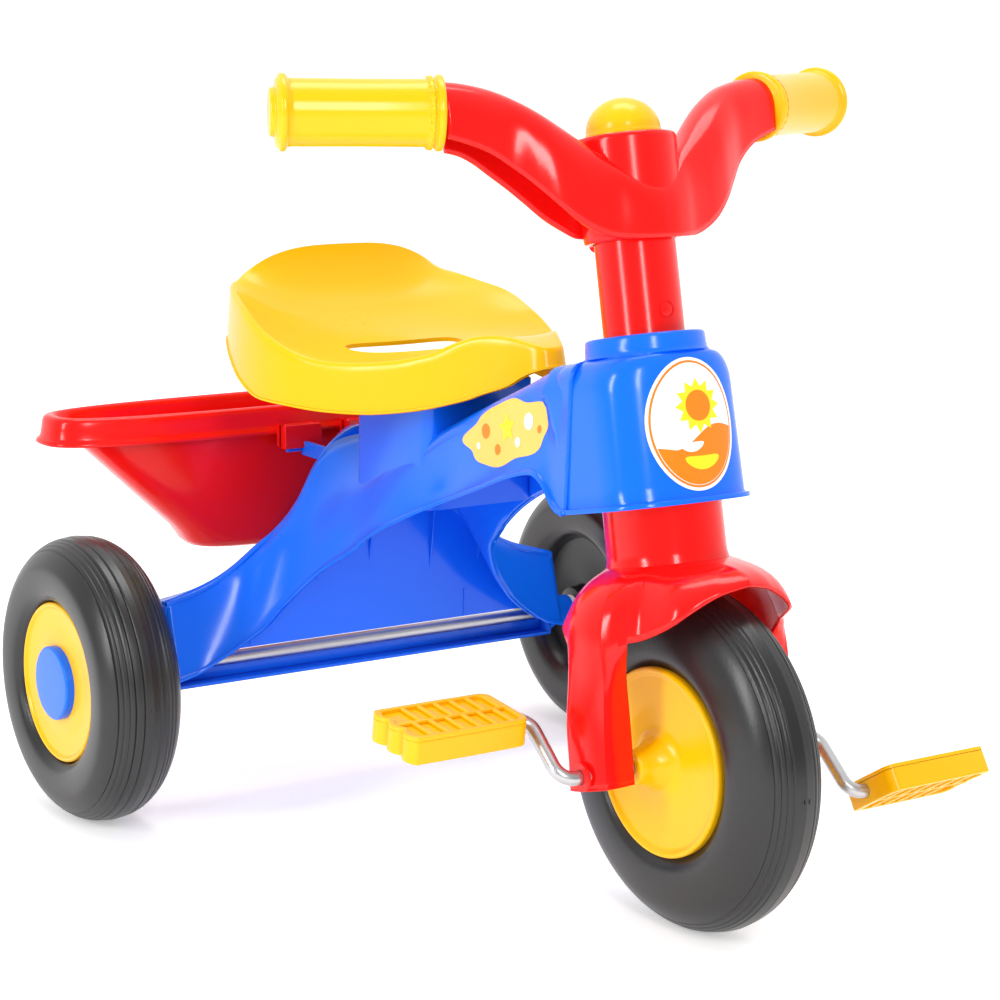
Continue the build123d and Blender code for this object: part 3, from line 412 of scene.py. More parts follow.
lip = [W(*p) for p in [(54, 66, 257), (52.5, 77, 258.6), (51.5, 84.5, 263.5), (51, 91, 270),
                       (50.5, 99, 274.6), (49.6, 108, 276), (48, 138, 268), (45, 173, 255),
                       (41.4, 219.5, 238), (46, 247, 226), (55.7, 284, 207), (63, 314, 186), (72, 333, 172),
                       (89, 350, 148), (104, 356, 130), (115, 361, 120.5), (127, 365, 112), (147, 370, 100),
                       (166, 372, 94)]]
crest = [W(*p) for p in [(51, 66, 351.5), (49, 80, 348), (47, 90, 345), (45, 99, 342), (44, 106, 339.5),
                         (43, 114, 336.5), (42, 140, 325), (42, 172, 311.5), (43, 222, 288),
                         (43, 252, 272.5), (42.6, 290, 255.5), (45, 314, 237.5), (51.2, 336, 222.4),
                         (64, 360, 201), (76, 371, 189.5), (92, 379, 178), (104, 384, 169.5),
                         (140, 387.6, 153.6), (166, 388, 147.5)]]
spine = [W(*p) for p in [(0, 84, 353), (0, 92, 352), (0, 98, 350.5), (0, 104, 349), (0, 110, 346.5),
                         (0, 118, 343.5), (0, 143, 331), (0, 175, 316), (0, 225, 297), (0, 258, 286),
                         (0, 292, 273), (6, 330, 266), (16, 362, 262), (32, 386, 252), (46, 389.5, 236),
                         (58, 390, 214), (74, 390, 196), (122, 390, 164), (166, 390, 149.4)]]
STEPS = 6
lips, crests, spines = [refine(c, STEPS) for c in (lip, crest, spine)]
parts = []
for sx in (1, -1):
    rows = []
    for lp, cr, sp in zip(lips, crests, spines):
        side_v, top_v = cr - lp, sp - cr
        r1, r2 = min(11, side_v.length * 0.4), min(11, top_v.length * 0.4)
        a, b = cr - side_v.normalized() * r1, cr + top_v.normalized() * r2
        outward = (Vector((1, -0.55, 0)) if lp.y - FY > 300 else X_AXIS).normalized()
        rise = side_v.normalized()
        # rolled lip along the lower edge
        row = [lp + outward * 2.6 + rise * -0.6, lp + outward * 3.0 + rise * 0.8,
               lp + outward * 2.4 + rise * 2.4,
               lp + outward * 0.3 + rise * 3.2, lp + rise * 5.0]
        row += [row[4].lerp(a, k / 5) for k in range(1, 6)]
        row += [a * (1 - t) ** 2 + cr * 2 * t * (1 - t) + b * t * t for t in (0.2, 0.4, 0.6, 0.8, 1.0)]
        row += [b.lerp(sp, k / 5) for k in range(1, 6)]
        rows.append([Vector((p.x * sx, p.y, p.z)) for p in row])
    parts.append(grid(rows))
saddle = make("body_saddle", parts, BLUE, "frame", ["body_shell"], inside=W(0, 230, 190),
              wall=WALL, sharp=50)
head_piece = make("body_head", [head], BLUE, "frame", [], inside=S(0, 0, 200), wall=2.6,
                  sharp=50)

# bulkhead, axle channel and ribs
CHANNEL_FRONT, CHANNEL_REAR = RY - 9.5, RY + 7
CHANNEL_END = 166


def bell(points):
    """Upper outline of the bulkhead, from the middle outwards."""
    return [(p.x, p.y) for p in refine([Vector((x, z, 0)) for x, z in points], 4)]


front_bell = bell([(0, 263), (12, 262), (30, 253), (44, 238), (57, 214), (73, 196), (95, 181.5),
                   (121, 163.5), (140, 155.5), (166, 149)])
rear_bell = bell([(0, 261), (10, 259), (22, 250), (34, 236), (46, 213), (62, 194.5), (84, 180), (110, 163),
                  (130, 154), (166, 147.5)])


def around(line, foot, y):
    """Closed outline across the machine: a bell's line, its mirror and a straight foot."""
    half = line + [(CHANNEL_END, foot)]
    return [Vector((x, y, z)) for x, z in half] + [Vector((-x, y, z)) for x, z in reversed(half) if x > 0]


make("bulkhead_wall", [prism(around(front_bell, 108, CHANNEL_FRONT), Vector((0, WALL, 0)))], BLUE, "frame",
     edge=0.6)
first, last = around(front_bell, 84, CHANNEL_FRONT), around(rear_bell, 84, CHANNEL_REAR)
rows = [first, [a.lerp(b, 0.5) for a, b in zip(first, last)], last]
make("axle_channel", [grid(rows, wrap=True)], BLUE, "frame", inside=Vector((0, RY, 150)),
     wall=WALL)
rail = [block((-169, RY + 3.6, 84), (169, RY + 6.6, 103), point)]
for sx in (-1, 1):
    rail.append(block((min(sx * 164, sx * 167), RY - 9, 86), (max(sx * 164, sx * 167), RY + 6, 146), point))
make("bottom_rail", rail, BLUE, "frame", edge=0.8)
ribs = []
for x, foot, top, deep in ((-44, 148, 178, 5), (1, 158, 200, 7), (54, 147, 206, 8), (97, 150, 181, 6)):
    tri = [Vector((x - 0.7, y, z)) for y, z in ((RY - 9.2, foot), (RY - 9.4 - deep, top), (RY - 9.2, top))]
    ribs.append(prism(tri, Vector((1.4, 0, 0))))
for x in (-132, -100, 84, 128):
    ribs.append(block((x, RY - 10.2, 109), (x + 1.2, RY - 9, 130), point))
make("bulkhead_ribs", ribs, BLUE, "frame", edge=0.3)
bosses = []
for sx in (-1, 1):
    boss = rounded([(0, 14), (4.5, 14), (6, 11.5), (22, 10.8), (22.4, 10), (22.4, 5.2), (10, 5.2)], 1, 3)
    bosses.append(lathe(boss, Vector((sx * 165, RY, 100)), X_AXIS * sx, 48))
make("axle_bosses", bosses, BLUE, "frame")

# seat pedestal and bucket tabs
loop = [W(p.x, p.y, 0) for p in fillet([(0, 240, 0), (-44, 240, 0), (-44, 335, 0), (44, 335, 0),
                                        (44, 240, 0), (0, 240, 0)], 9, 5)][:-1]
rows = [[Vector((p.x, p.y, z)) for p in loop] for z in (228, 250, 270, 290, 311.5, 313.2)]
mid = W(0, 288, 0)
for share in (0.98, 0.02):
    rows.append([mid + (Vector((p.x, p.y, 0)) - mid) * share + Vector((0, 0, 314)) for p in loop])
make("seat_pedestal", [grid(rows, wrap=True)], BLUE, "frame")
TAB_X = 27
tabs = []
for sx in (-1, 1):
    tabs.append(block((sx * TAB_X - 12, RY + 42.5, 237), (sx * TAB_X + 12, RY + 45.5, 255), point))
    tabs.append(block((sx * 25 - 1.5, RY + 4, 234), (sx * 25 + 1.5, RY + 44, 245), point))
make("bucket_tabs", tabs, BLUE, "frame", edge=0.8)

# ---------------------------------------------------------------- seat
# tables of (distance behind the front axle, value)
half_width = [(158, 0), (159.5, 6), (164, 9.5), (171, 13), (181.5, 18.6), (192, 25.5), (203, 34),
              (214, 43.5), (226, 53), (237, 62), (253, 73.5), (274.5, 89), (295, 102), (311, 110.6),
              (328, 115.4), (345, 117), (372, 114), (400, 105.5), (415, 99), (424, 94.5), (430, 89)]
crest_z = [(150, 346), (158, 348), (168, 350.5), (181.5, 353), (192, 353), (203, 351), (214, 345.5),
           (226, 338.5), (237, 334.5), (253, 331), (274.5, 328.5), (295, 329), (311, 333), (330, 339.5),
           (345, 345), (372, 356), (400, 362), (428, 368), (432, 368)]
middle_z = [(150, 346), (158, 348), (168, 350.3), (181.5, 352), (192, 350.5), (203, 347), (214, 342),
            (226, 337.5),
            (240, 332.5), (253, 329), (295, 325.5), (330, 326), (356, 329.5), (380, 337), (400, 347),
            (416, 362),
            (425, 377), (430, 391)]
skirt_z = [(150, 337), (168, 328), (178, 321), (195, 313.5), (204, 309), (225, 301.5), (240, 298),
           (260, 295), (290, 294.5), (311, 296), (345, 298), (372, 306), (400, 317), (432, 329)]


def read(table, y):
    """Value of a smoothed table at y."""
    pts = refine([Vector((a, b, 0)) for a, b in table], 8)
    for p, q in zip(pts, pts[1:]):
        if y <= q.x:
            return p.y + (q.y - p.y) * (y - p.x) / max(q.x - p.x, 1e-9)
    return pts[-1].y


def level(v):
    """Unit vector of v's horizontal part."""
    flat = Vector((v.x, v.y, 0))
    return flat.normalized() if flat.length > 1e-6 else Vector((0, 1, 0))


edge_pts = spread(refine([Vector((b, a, 0)) for a, b in half_width], 6), 90)
COLS = 56
SEAT_END = 429
rows = []
for p in edge_pts:
    y, w = p.y, p.x
    zm, zc = read(middle_z, y), read(crest_z, y)
    row = []
    for k in range(COLS + 1):
        f = math.sin(math.pi / 2 * (2 * k / COLS - 1))
        row.append(W(w * f * 0.965, min(y, SEAT_END), zm + (zc - zm) * abs(f) ** 3.2))
    rows.append(row)
top = grid(rows)
# rim of the top sheet: right edge, rear edge, left edge
rim = [row[-1] for row in rows] + [rows[-1][COLS - k] for k in range(1, COLS)]
rim += [Vector((-row[-1].x, row[-1].y, row[-1].z)) for row in reversed(rows)]
centre = W(0, 320, 0)
skirt_rows = [rim]
for outw, down in ((1.4, 0.3), (2.6, 1.6), (3.2, 3.6)):
    row = []
    for i, e in enumerate(rim):
        a, b = rim[i - 1], rim[(i + 1) % len(rim)]
        n = level(Vector((b.y - a.y, a.x - b.x, 0)))
        if n.dot(Vector((e.x - centre.x, e.y - centre.y, 0))) < 0:
            n = -n
        row.append(e + n * outw - Vector((0, 0, down)))
    skirt_rows.append(row)
shoulder = skirt_rows[-1]
flats = [level(q - p) for p, q in zip(rim, shoulder)]
for k in range(1, 9):
    row = []
    for p, flat in zip(shoulder, flats):
        foot = read(skirt_z, min(max(p.y - FY, 150), 432))
        z = p.z + (foot + 1.6 - p.z) * k / 8
        row.append(Vector((p.x, p.y, z)) + flat * (0.25 * k))
    skirt_rows.append(row)
last = skirt_rows[-1]
for outw, down in ((1.1, 0.2), (1.2, 1.5)):
    skirt_rows.append([p + f * outw - Vector((0, 0, down)) for p, f in zip(last, flats)])
skirt = grid(skirt_rows, wrap=True)
seat = make("seat_shell", [top, skirt], YELLOW, "frame", ["seat"], inside=W(0, 320, 250),
            wall=WALL, sharp=60)
slot_line = []
for k in range(48):
    a = 2 * math.pi * k / 48
    x = 48 * math.copysign(abs(math.cos(a)) ** 0.55, math.cos(a))
    y = 335 + 15.5 * math.copysign(abs(math.sin(a)) ** 0.8, math.sin(a)) + 3 * abs(math.cos(a))
    slot_line.append(W(x, y, 300))
cutter = make("slot_cutter", [prism(slot_line, Vector((0, 0, 60)))], YELLOW, "frame")
md = seat.modifiers.new("slot", "BOOLEAN")
md.object = cutter
md.operation = "DIFFERENCE"
md.solver = "EXACT"
bpy.context.view_layer.update()
baked = bpy.data.meshes.new_from_object(seat.evaluated_get(bpy.context.evaluated_depsgraph_get()))
seat.modifiers.clear()
seat.data = baked
bpy.data.objects.remove(cutter)
baked.shade_smooth()
baked.set_sharp_from_angle(angle=math.radians(50))

# ---------------------------------------------------------------- bucket
BUCKET_Y = 492.0


def oval(a, b, yc, z, n, count=144):
    """Superellipse of half sizes a and b round the bucket's middle."""
    pts = []
    for i in range(720):
        t = 2 * math.pi * i / 720
        c, s = math.cos(t), math.sin(t)
        pts.append(Vector((a * math.copysign(abs(c) ** (2 / n), c), b * math.copysign(abs(s) ** (2 / n), s),
                           0)))
    pts = spread(pts + [pts[0]], count + 1)[:-1]
    return [W(p.x, yc + p.y, z) for p in pts]


loops = [(209.0, 39.0, BUCKET_Y, 250.4, 3.3), (211.6, 41.6, BUCKET_Y, 250.0, 3.3),
         (212, 42, BUCKET_Y, 250.6, 3.3), (211.4, 41.4, BUCKET_Y, 252.6, 3.3),
         (209.4, 39.8, BUCKET_Y, 254, 3.3), (208.6, 39.2, BUCKET_Y, 256, 3.3),
         (207.6, 38.6, BUCKET_Y, 262, 3.3), (207.0, 38.2, BUCKET_Y, 266, 3.3),
         (206, 37.4, BUCKET_Y, 268.4, 3.3), (204.4, 36.2, BUCKET_Y, 269.6, 3.3),
         (202.0, 34.4, BUCKET_Y, 270.0, 3.2), (199.6, 32.8, BUCKET_Y, 269.6, 3.2),
         (198, 31.6, BUCKET_Y, 268.2, 3.2), (197, 31, BUCKET_Y, 265.5, 3.2)]
outer = []
for k in range(1, 15):
    t = k / 15
    a = 197 + (101 - 197) * t
    b = 31 + (27 - 31) * t
    z = 265.5 + (176 - 265.5) * t
    outer.append((a, b, BUCKET_Y + (486 - BUCKET_Y) * t, z, 3.2))
outer += [(100, 26.5, 486, 171.5, 3.1), (96.5, 25.5, 485.6, 168.4, 3.0), (91, 23, 485.5, 167.2, 3.0),
          (60, 15, 485.5, 167, 3.0), (2, 1, 485.5, 167, 3.0)]
rows = [oval(*v) for v in loops + outer]
bucket = make("bucket_shell", [grid(rows, wrap=True)], RED, "bucket_body", ["bucket"],
              sharp=60)
# the sheet is seen from inside the bin, so its wall grows outwards and down
bin_middle = W(0, BUCKET_Y, 262) / 1000
flip = 0
for poly in bucket.data.polygons:
    c = poly.center
    if 0.18 < c.z < 0.26 and abs(c.x) < 0.19 and abs(c.y - bin_middle.y) < 0.034:
        flip += 1 if poly.normal.dot(bin_middle - c) > 0 else -1
md = bucket.modifiers.new("wall", "SOLIDIFY")
md.thickness = 0.0026
md.offset = -1 if flip > 0 else 1
md.use_quality_normals = True
SLEEVE_Y = BUCKET_Y - 51
sleeves = []
for sx in (-1, 1):
    for x0, x1, y0, y1 in ((-15.3, 15.3, -4.8, -1.8), (-15.3, -12.3, -1.8, 8.6), (12.3, 15.3, -1.8, 8.6),
                           (-15.3, 15.3, 1.9, 4.9)):
        low, high = (sx * TAB_X + x0, SLEEVE_Y + y0, 240), (sx * TAB_X + x1, SLEEVE_Y + y1, 257.5)
        sleeves.append(block(low, high, W))
make("bucket_sleeves", sleeves, RED, "bucket_body", edge=0.5)

# ---------------------------------------------------------------- fork
profile = rounded([(112, 37.6), (116, 39), (120, 39), (126, 37.8), (150, 37.5), (248, 37.3), (250, 25.6),
                   (346, 25.4)], 2.5, 4)
column = lathe(profile, ORIGIN, AXIS, up=BACK)
# visor's front edge, then sections of a leg from the crown down, then the visor's rear edge
tip = [(0, -80, 105), (17.4, -75.5, 101.8), (24.7, -72.5, 99), (36.6, -67.5, 93), (45.7, -60.5, 87),
       (51.5, -47, 81.5),
       (56, -37, 78.5)]
legs = [
    [(60, -31, 77.5), (63.5, -28.5, 76.5), (67.5, -25, 76), (71.5, -19.5, 75.5), (74, -9, 75), (74.5, 3, 74.5),
     (73, 13, 74.5), (68, 20, 76)],
    [(53, -17, 55), (59, -18.5, 55), (66, -20, 55), (72.5, -19.5, 55), (75.5, -11, 55), (77, 1, 55),
     (76.5, 12, 55), (68, 16, 55)],
    [(51, -13.5, 31), (58, -15, 31), (66, -16.5, 31), (73, -16.5, 31), (78.5, -9.5, 31), (81.5, 0, 31),
     (81.5, 11, 31), (72, 14, 31)],
    [(51, -12.5, 10), (58, -14, 10), (66, -15.2, 10), (74, -15.2, 10), (80, -8.5, 10), (83, 0, 10),
     (82.5, 11, 10), (73, 14, 10)],
    [(51.5, -12, -9), (58, -13.2, -9), (66, -14.5, -9), (75, -14.5, -9), (80.5, -8, -9), (83.5, 0, -9),
     (83, 12, -9), (73, 14, -9)]]
flare = [(64, 30, 88), (56, 36, 92), (44, 42, 95), (30, 48, 97), (15, 52, 98), (0, 53, 98)]


def section(points):
    """A leg's outline with a crease along its front ridge."""
    pts = [Vector(p) for p in points]
    return refine(pts[:4], 5) + refine(pts[3:], 5)[1:]


crown_parts, feet = [], []
for sx in (-1, 1):
    front = refine([Vector(p) for p in tip + [legs[0][0]]], 6)
    side = section(legs[0])
    rear = refine([Vector(p) for p in [legs[0][-1]] + flare], 6)
    edge_line = front + side[1:] + rear[1:]
    rows = []
    leg_start, leg_end = len(front) - 1, len(front) + len(side) - 2
    for i, p in enumerate(edge_line):
        a = math.atan2(p.x, -p.y)
        away = max(leg_start - i, i - leg_end, 0)
        near = max(0.0, 1 - away / 9)
        near = near * near * (3 - 2 * near)
        ahead = max(0.0, math.cos(a))
        ringp = Vector((38.2 * math.sin(a), -38.2 * math.cos(a), 121.5))
        lead = 0.80 + 0.16 * ahead
        lead = lead + (0.985 - lead) * near
        high = p.z + (118 - p.z) * (0.78 + 0.1 * ahead)
        ctrl = Vector((p.x * lead, p.y * lead, high + (112 - high) * near))
        row = [Vector((30 * math.sin(a), -30 * math.cos(a), 123))]
        for k in range(15):
            t = k / 14
            row.append(ringp * (1 - t) ** 2 + ctrl * 2 * t * (1 - t) + p * t * t)
        rows.append([S(sx * q.x, q.y, q.z) for q in row])
    crown_parts.append(grid(rows))
    sections = [section(q) for q in legs]
    columns = [refine([q[j] for q in sections], 6) for j in range(len(sections[0]))]
    crown_parts.append(grid([[S(sx * q.x, q.y, q.z) for q in col] for col in columns]))
    cap = [S(sx * q.x, q.y, -8.6) for q in sections[-1]]
    feet.append((cap, [tuple(range(len(cap)))]))
make("fork_column", [column], RED, "steering", ["fork"], inside=S(0, 0, 200), sharp=50)
make("fork_crown", crown_parts, RED, "steering", inside=S(0, 0, 60), wall=2.4, sharp=26)
make("fork_feet", feet, RED, "steering", wall=1.5)
plug = S(0, -25.0, 277)
make("plug_ring", [lathe([(0, 4.6), (0.5, 5.3), (1.2, 5.3), (1.2, 4.6)], plug, -BACK, 40)], RED, "steering")
make("column_plug_face", [lathe([(0.0, 4.4), (0.7, 4.4), (1.0, 3.9), (1.0, 0)], plug, -BACK, 40)], RED,
     "steering", ["column_plug"])

# ---------------------------------------------------------------- handlebar
# (beside, behind, up the steering axis) in millimetres
front_low = [(0, -33.5, 320.5), (10, -32.5, 320.5), (20, -29.5, 320.8), (30, -25.2, 321.8),
             (40, -22.5, 325.2), (52, -20.1, 332.1), (64, -16.6, 343.2), (75, -11.2, 355.5),
             (88, -4.5, 369.2), (101, -1, 379.2), (114, 2.0, 385.2), (126.5, 4.3, 389.5)]
ridge_top = [(0, -31.4, 351), (10, -28, 355), (20, -20.5, 363.5), (30, -11.9, 374.2), (40, -6.9, 383),
             (52, 1.1, 394.2), (64, 7.2, 404.3), (75, 11.2, 411.8), (88, 14.5, 418.6), (100, 16.2, 422.3),
             (110, 17, 424.4), (120.4, 17.3, 425.4)]
rear_low = [(0, 20, 326), (10, 20, 326), (20, 20, 326.2), (30, 20, 327), (40, 20.5, 332), (52, 22, 339.9),
            (63.5, 24, 350.5), (74, 26, 360), (85, 28, 369), (95, 29.6, 377), (104, 30.8, 382),
            (113.4, 31.8, 384.5)]
tracks = [refine([Vector(q) for q in line], 5) for line in (front_low, ridge_top, rear_low)]
arms = []
for sx in (-1, 1):
    rows = []
    for f, top, r in zip(*tracks):
        row = []
        for low, steps, way in ((f, range(0, 19), 1), (r, range(17, -1, -1), -1)):
            wall = low.z + (top.z - low.z) * 0.42
            for k in steps:
                if k < 5:
                    q = Vector((low.x, low.y - way * 1.2 * math.sin(k / 5 * 1.6),
                                low.z + (wall - low.z) * k / 5))
                else:
                    t = math.pi / 2 * (k - 5) / 13
                    u = math.sin(t) ** (2 / 2.25)
                    w = 1 - math.cos(t) ** (2 / 2.25) if t < math.pi / 2 - 1e-6 else 1.0
                    q = Vector((low.x + (top.x - low.x) * w,
                                low.y - way * 1.2 + (top.y - low.y + way * 1.2) * w,
                                wall + (top.z - wall) * u))
                row.append(S(sx * q.x, q.y, q.z))
        rows.append(row)
    arms.append(grid(rows))
make("handlebar_arms", arms, RED, "steering", ["handlebar"], inside=S(0, 5, 340), wall=WALL,
     sharp=55)
profile = rounded([(322, 26.2), (322, 31.4), (330, 32), (384.5, 32.6), (387, 31.2), (387, 25.2),
                   (370, 25.0)], 2.0, 4)
make("handlebar_tower", [lathe(profile, ORIGIN, AXIS, up=BACK)], RED, "steering")
lug = [rod(S(0, 26, 331), S(0, 39.5, 331), 8.5, 32, 1.5), rod(S(-5, 28, 324), S(-5, 36, 324), 5, 24, 1.0)]
make("handlebar_lug", lug, RED, "steering")
SWEEP = math.radians(24.75)
BEADS = 28
grip = rounded([(0.3, 14.2), (0.3, 21.4), (1.2, 23), (4.4, 23), (5.4, 21.2), (6.6, 21.0), (7.4, 22.1),
                (9.4, 22.1),
                (10.4, 20.4), (50, 20.2), (92, 20.4), (94, 20.9), (95.5, 23.4), (98.5, 23.4), (101.2, 19.5),
                (101.5, 15), (104.6, 14.4), (105, 12.5), (104.4, 0)], 1.0, 3)
for side, out in SIDES:
    g0 = S(out * 120.4, 17.3, 406.7)
    d = Vector((out * math.cos(SWEEP), math.sin(SWEEP), 0))
    parts = [lathe(grip, g0, d)]
    for k in range(BEADS):
        a = 2 * math.pi * k / BEADS
        u = Vector((0, 0, 1))
        v = d.cross(u)
        n = u * math.cos(a) + v * math.sin(a)
        parts.append(rod(g0 + d * 7.2 + n * 21.6, g0 + d * 10.2 + n * 21.2, 1.0, 8))
    make("grip_cover_" + side, parts, YELLOW, "steering", ["grip_" + side], sharp=60)
profile = rounded([(374, 22), (374, 24.3), (388.2, 24.4), (389.4, 24.0), (390.0, 23.6)], 0.6, 3)
for k in range(1, 15):
    a = math.pi / 2 * k / 14
    profile.append((390 + 21.4 * math.sin(a), 23.6 * math.cos(a)))
make("button_dome", [lathe(profile, ORIGIN, AXIS, up=BACK)], YELLOW, "horn",
     ["horn_button"])

# ---------------------------------------------------------------- pedals
CRANK_ANGLE, CRANK_THROW = math.radians(40), 48
PEDAL_X, PEDAL_SHIFT = 112.5, 3.5
DEPTH_SCALE, HEIGHT_SCALE = 0.87, 0.83
TILT = {"left": math.radians(-32), "right": math.radians(6)}
for side, out in SIDES:
    c = HUB - Vector((0, math.cos(CRANK_ANGLE), math.sin(CRANK_ANGLE))) * CRANK_THROW * out
    tilt = TILT[side]
    up = Vector((0, -math.sin(tilt), math.cos(tilt)))
    fwd = Vector((0, -math.cos(tilt), -math.sin(tilt)))

    def P(a, b, h, c=c, up=up, fwd=fwd, out=out):
        """Point a outwards, b forwards and h up from the pedal's inner end."""
        ahead = fwd * (b * DEPTH_SCALE + out * PEDAL_SHIFT)
        return c + Vector((out * (PEDAL_X + a), 0, 0)) + ahead + up * (h * HEIGHT_SCALE)

    line = fillet([(40, 29, 0), (4, 28.4, 0), (0, 24, 0), (0, -24, 0), (4, -28.4, 0), (40, -29, 0)], 3, 4)
    wave = []
    for k in range(49):
        t = k / 48
        wave.append(Vector((80 + 4 * abs(math.sin(math.pi * 3 * t)) ** 0.8, -29 + 58 * t, 0)))
    loop = line + wave
    parts = [prism([P(p.x, p.y, -7.5) for p in loop], up * 12.5)]
    inner = [Vector((41 + (p.x - 41) * 0.90, p.y * 0.86, 0)) for p in loop]
    for lo, hi in ((-7.5, -10.5), (7.5, 10.5)):
        parts.append(grid([[P(p.x, p.y, lo) for p in loop], [P(p.x, p.y, hi) for p in loop],
                           [P(p.x, p.y, hi) for p in inner], [P(p.x, p.y, lo) for p in inner]], wrap=True))
    # ribs on both faces, staggered across the middle bar
    for lo in (-10.4, 7.4):
        for k in range(6):
            a0 = 5 + k * 11.5
            for b0, b1, a in ((-25, -1, a0), (1, 25, a0 + 6)):
                q = [P(a - 1.6, b0, lo), P(a + 1.6, b0, lo), P(a + 1.6, b1, lo), P(a - 1.6, b1, lo)]
                parts.append(prism(q, up * 2.5))
        parts.append(block((4, -1.6, lo), (79, 1.6, lo + 3), P))
    make("pedal_block_" + side, parts, YELLOW, "pedal_l" if out > 0 else "pedal_r",
         ["pedal_" + side], edge=0.9, sharp=50, tidy=0.001)

# ---------------------------------------------------------------- stickers
def decal(name, target, outline, origin, right, upward, aim, lift, material, rings=10):
    """Thin label laid on a piece: each point of its flat outline is dropped onto the surface."""
    bpy.context.view_layer.update()
    tree = BVHTree.FromObject(target, bpy.context.evaluated_depsgraph_get())
    inv = target.matrix_world.inverted()
    n = len(outline)
    verts = []
    for r in range(rings + 1):
        s = r / rings
        for u, v in outline:
            p = origin + right * (u * s) + upward * (v * s)
            hit, normal, _, _ = tree.ray_cast(inv @ (p / 1000), aim)
            if hit is None:
                return
            if normal.dot(aim) > 0:
                normal = -normal
            verts.append((hit + normal * lift / 1000) * 1000)
    faces = []
    for r in range(rings):
        for i in range(n):
            k = (i + 1) % n
            faces.append((r * n + i, r * n + k, (r + 1) * n + k, (r + 1) * n + i))
    make(name, [(verts, faces)], material, "frame", tidy=0.001)


def ellipse(a, b, n=72):
    """Outline of an ellipse."""
    return [(a * math.cos(2 * math.pi * i / n), b * math.sin(2 * math.pi * i / n)) for i in range(n)]


def star(r1, r2, points, n=8):
    """Outline of a star between two radii, with n steps along each of its edges."""
    out = []
    corners = []
    for i in range(points * 2):
        a = math.pi / 2 + math.pi * i / points
        r = r1 if i % 2 == 0 else r2
        corners.append(Vector((r * math.cos(a), r * math.sin(a), 0)))
    for a, b in zip(corners, corners[1:] + corners[:1]):
        for k in range(n):
            p = a.lerp(b, k / n)
            out.append((p.x, p.y))
    return out


def badge(name, outline, lift, material, up=0, aside=0, scale=1):
    """One layer of the oval badge on the front of the housing."""
    spot = S(aside, -90, 205 + up)
    decal(name, head_piece, outline, spot, X_AXIS * scale, AXIS * scale, BACK, lift, material)


badge("badge_border", ellipse(33, 41), 0.20, ST_WHITE)
badge("badge_line", ellipse(31, 39), 0.35, ST_ORANGE)
badge("badge_white", ellipse(29.6, 37.6), 0.50, ST_WHITE)
hill = [(29.2 * math.cos(t),
         37.2 * math.sin(t) + 18) for t in [math.radians(200 + 155 * i / 36) for i in range(37)]]
(x0, y0), (x1, y1) = hill[-1], hill[0]
hill += [(x0 + (x1 - x0) * k / 24, y0 + (y1 - y0) * k / 24 + 4.5 * math.sin(k / 24 * math.pi * 2))
         for k in range(1, 24)]
badge("badge_hill", hill, 0.65, ST_ORANGE, up=-18)
badge("badge_sun", star(17, 12, 12), 0.8, ST_YELLOW, up=11, aside=4)
badge("badge_disc", ellipse(9.5, 9.5), 0.95, ST_ORANGE, up=11, aside=4)
swoop = [(13 * math.cos(t),
          4.2 * math.sin(t) + 3 * math.cos(t) ** 2) for t in [2 * math.pi * i / 48 for i in range(48)]]
badge("badge_swoop", swoop, 0.8, ST_YELLOW, up=-24, aside=3)
badge("badge_swoop_small", swoop, 0.8, ST_WHITE, up=-14, aside=-4, scale=0.7)

blob = []
for i in range(72):
    a = 2 * math.pi * i / 72
    r = 1 + 0.06 * math.sin(5 * a + 0.6) + 0.04 * math.sin(8 * a)
    blob.append((53 * r * math.cos(a), 20 * r * math.sin(a)))
along = Vector((0, 0.955, -0.30))
upw = Vector((0, 0.30, 0.955))
dots = ((-27, 3, 5.5), (27, 5, 5.0), (-12, -8, 3.2), (14, -9, 3.6), (38, -3, 2.2), (-40, -4, 2.6))
for side, out in SIDES:
    o = W(out * 120, 143, 297)
    aim = Vector((-out, 0, 0))
    decal("side_label_" + side, saddle, blob, o, along, upw, aim, 0.25, ST_LIGHT)
    decal("side_star_" + side, saddle, star(10, 5, 5), o + upw * 3, along, upw, aim, 0.45, ST_YELLOW)
    for k, (u, v, r) in enumerate(dots):
        decal(f"side_dot_{side}_{k}", saddle, ellipse(r, r, 24), o + along * u + upw * v, along, upw, aim,
              0.45,
              ST_ORANGE if k % 2 else ST_WHITE, rings=3)

# ---------------------------------------------------------------- studio
floor_mesh = bpy.data.meshes.new("floor")
floor_mesh.from_pydata([(-30, -30, 0), (30, -30, 0), (30, 30, 0), (-30, 30, 0)], [], [(0, 1, 2, 3)])
floor = bpy.data.objects.new("floor", floor_mesh)
bpy.context.scene.collection.objects.link(floor)
fm = bpy.data.materials.new("floor_paint")
fm.use_nodes = True
paint = fm.node_tree.nodes["Principled BSDF"]
for socket, value in (("Base Color", (0.93, 0.93, 0.93, 1)), ("Roughness", 0.9),
                      ("Emission Color", (1, 1, 1, 1)), ("Emission Strength", 0.35),
                      ("Specular IOR Level", 0.1)):
    paint.inputs[socket].default_value = value
floor_mesh.materials.append(fm)

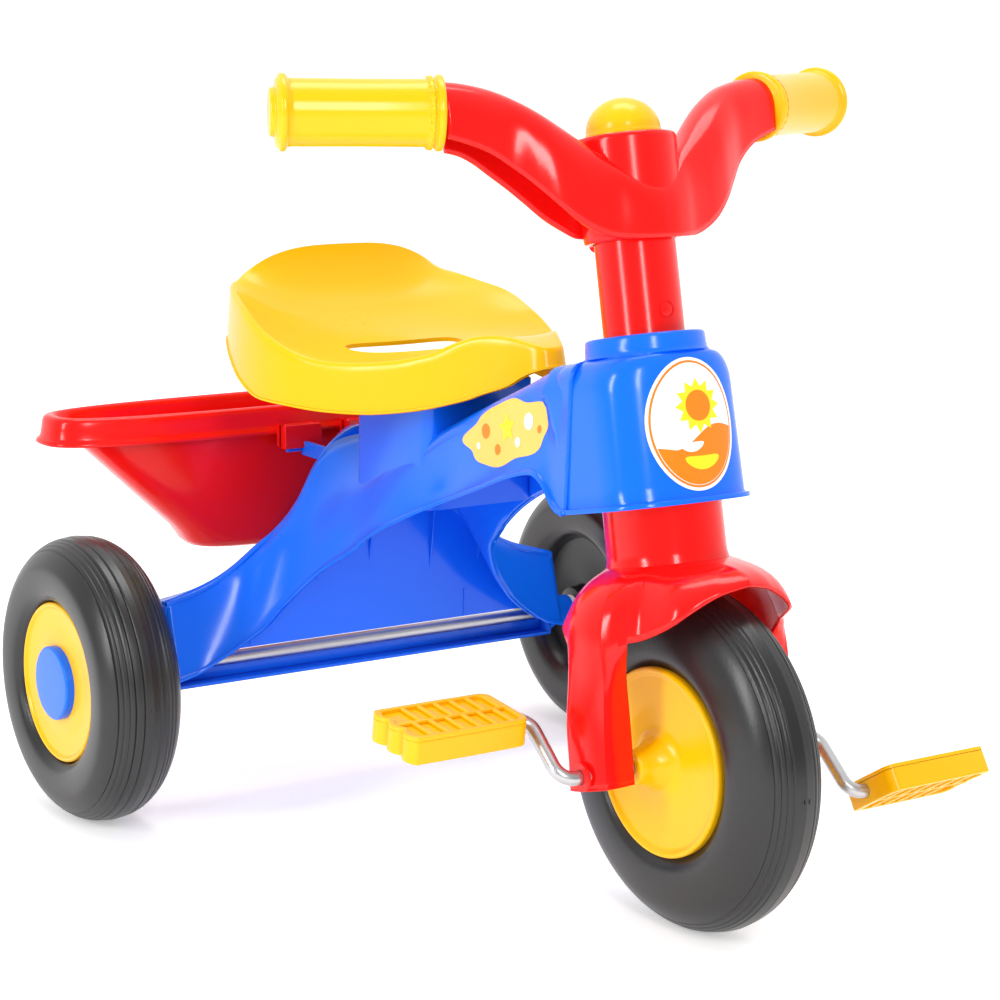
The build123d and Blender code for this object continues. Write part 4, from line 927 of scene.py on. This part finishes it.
# white behind the object, dimmer towards the camera so that the shaded sides keep their depth
world = bpy.data.worlds.new("studio")
bpy.context.scene.world = world
world.use_nodes = True
tree = world.node_tree
way = tree.nodes.new("ShaderNodeTexCoord")
dot = tree.nodes.new("ShaderNodeVectorMath")
dot.operation = "DOT_PRODUCT"
dot.inputs[1].default_value = (0.55, 0.80, 0.24)
tree.links.new(way.outputs["Generated"], dot.inputs[0])
fade = tree.nodes.new("ShaderNodeMapRange")
fade.inputs["From Min"].default_value = -0.5
fade.inputs["From Max"].default_value = 0.55
fade.inputs["To Min"].default_value = 0.42
fade.inputs["To Max"].default_value = 1.2
tree.links.new(dot.outputs["Value"], fade.inputs["Value"])
tree.nodes["Background"].inputs["Color"].default_value = (1, 1, 1, 1)
tree.links.new(fade.outputs["Result"], tree.nodes["Background"].inputs["Strength"])


def lamp(name, place, aim, size, power):
    """Rectangular area light that faces a point."""
    data = bpy.data.lights.new(name, "AREA")
    data.shape = "RECTANGLE"
    data.size, data.size_y = size
    data.energy = power
    ob = bpy.data.objects.new(name, data)
    ob.location = place
    ob.rotation_mode = "QUATERNION"
    ob.rotation_quaternion = (Vector(aim) - Vector(place)).to_track_quat("-Z", "Y")
    bpy.context.scene.collection.objects.link(ob)


lamp("key", (-0.9, -2.4, 1.6), (0, 0, 0.25), (0.35, 1.2), 26)
lamp("fill", (-2.6, -0.4, 1.3), (0, 0, 0.25), (0.4, 1.3), 34)
lamp("top", (0.3, 0.3, 2.6), (0, 0, 0.2), (1.6, 1.0), 26)

scene = bpy.context.scene
scene.view_settings.view_transform = "Standard"
cam_data = bpy.data.cameras.new("camera")
cam = bpy.data.objects.new("camera", cam_data)
scene.collection.objects.link(cam)
scene.camera = cam
# fitted to the photograph
CAMERA = W(-1000.1, -1252.3, 586.7) / 1000
FOCAL_PX = 2664.12
az, el, roll = [math.radians(v) for v in (-34.250, 11.175, 0.844)]
back = Vector((math.sin(az) * math.cos(el), -math.cos(az) * math.cos(el), math.sin(el)))
x_dir = Vector((0, 0, 1)).cross(back).normalized()
y_dir = back.cross(x_dir)
x_roll = x_dir * math.cos(roll) + y_dir * math.sin(roll)
y_roll = -x_dir * math.sin(roll) + y_dir * math.cos(roll)
cam.matrix_world = Matrix.Translation(CAMERA) @ Matrix((x_roll, y_roll, back)).transposed().to_4x4()
cam_data.sensor_width = 36
cam_data.lens = FOCAL_PX / 1000 * cam_data.sensor_width
cam_data.clip_start = 0.05
cam_data.clip_end = 100
cam_data.dof.use_dof = False
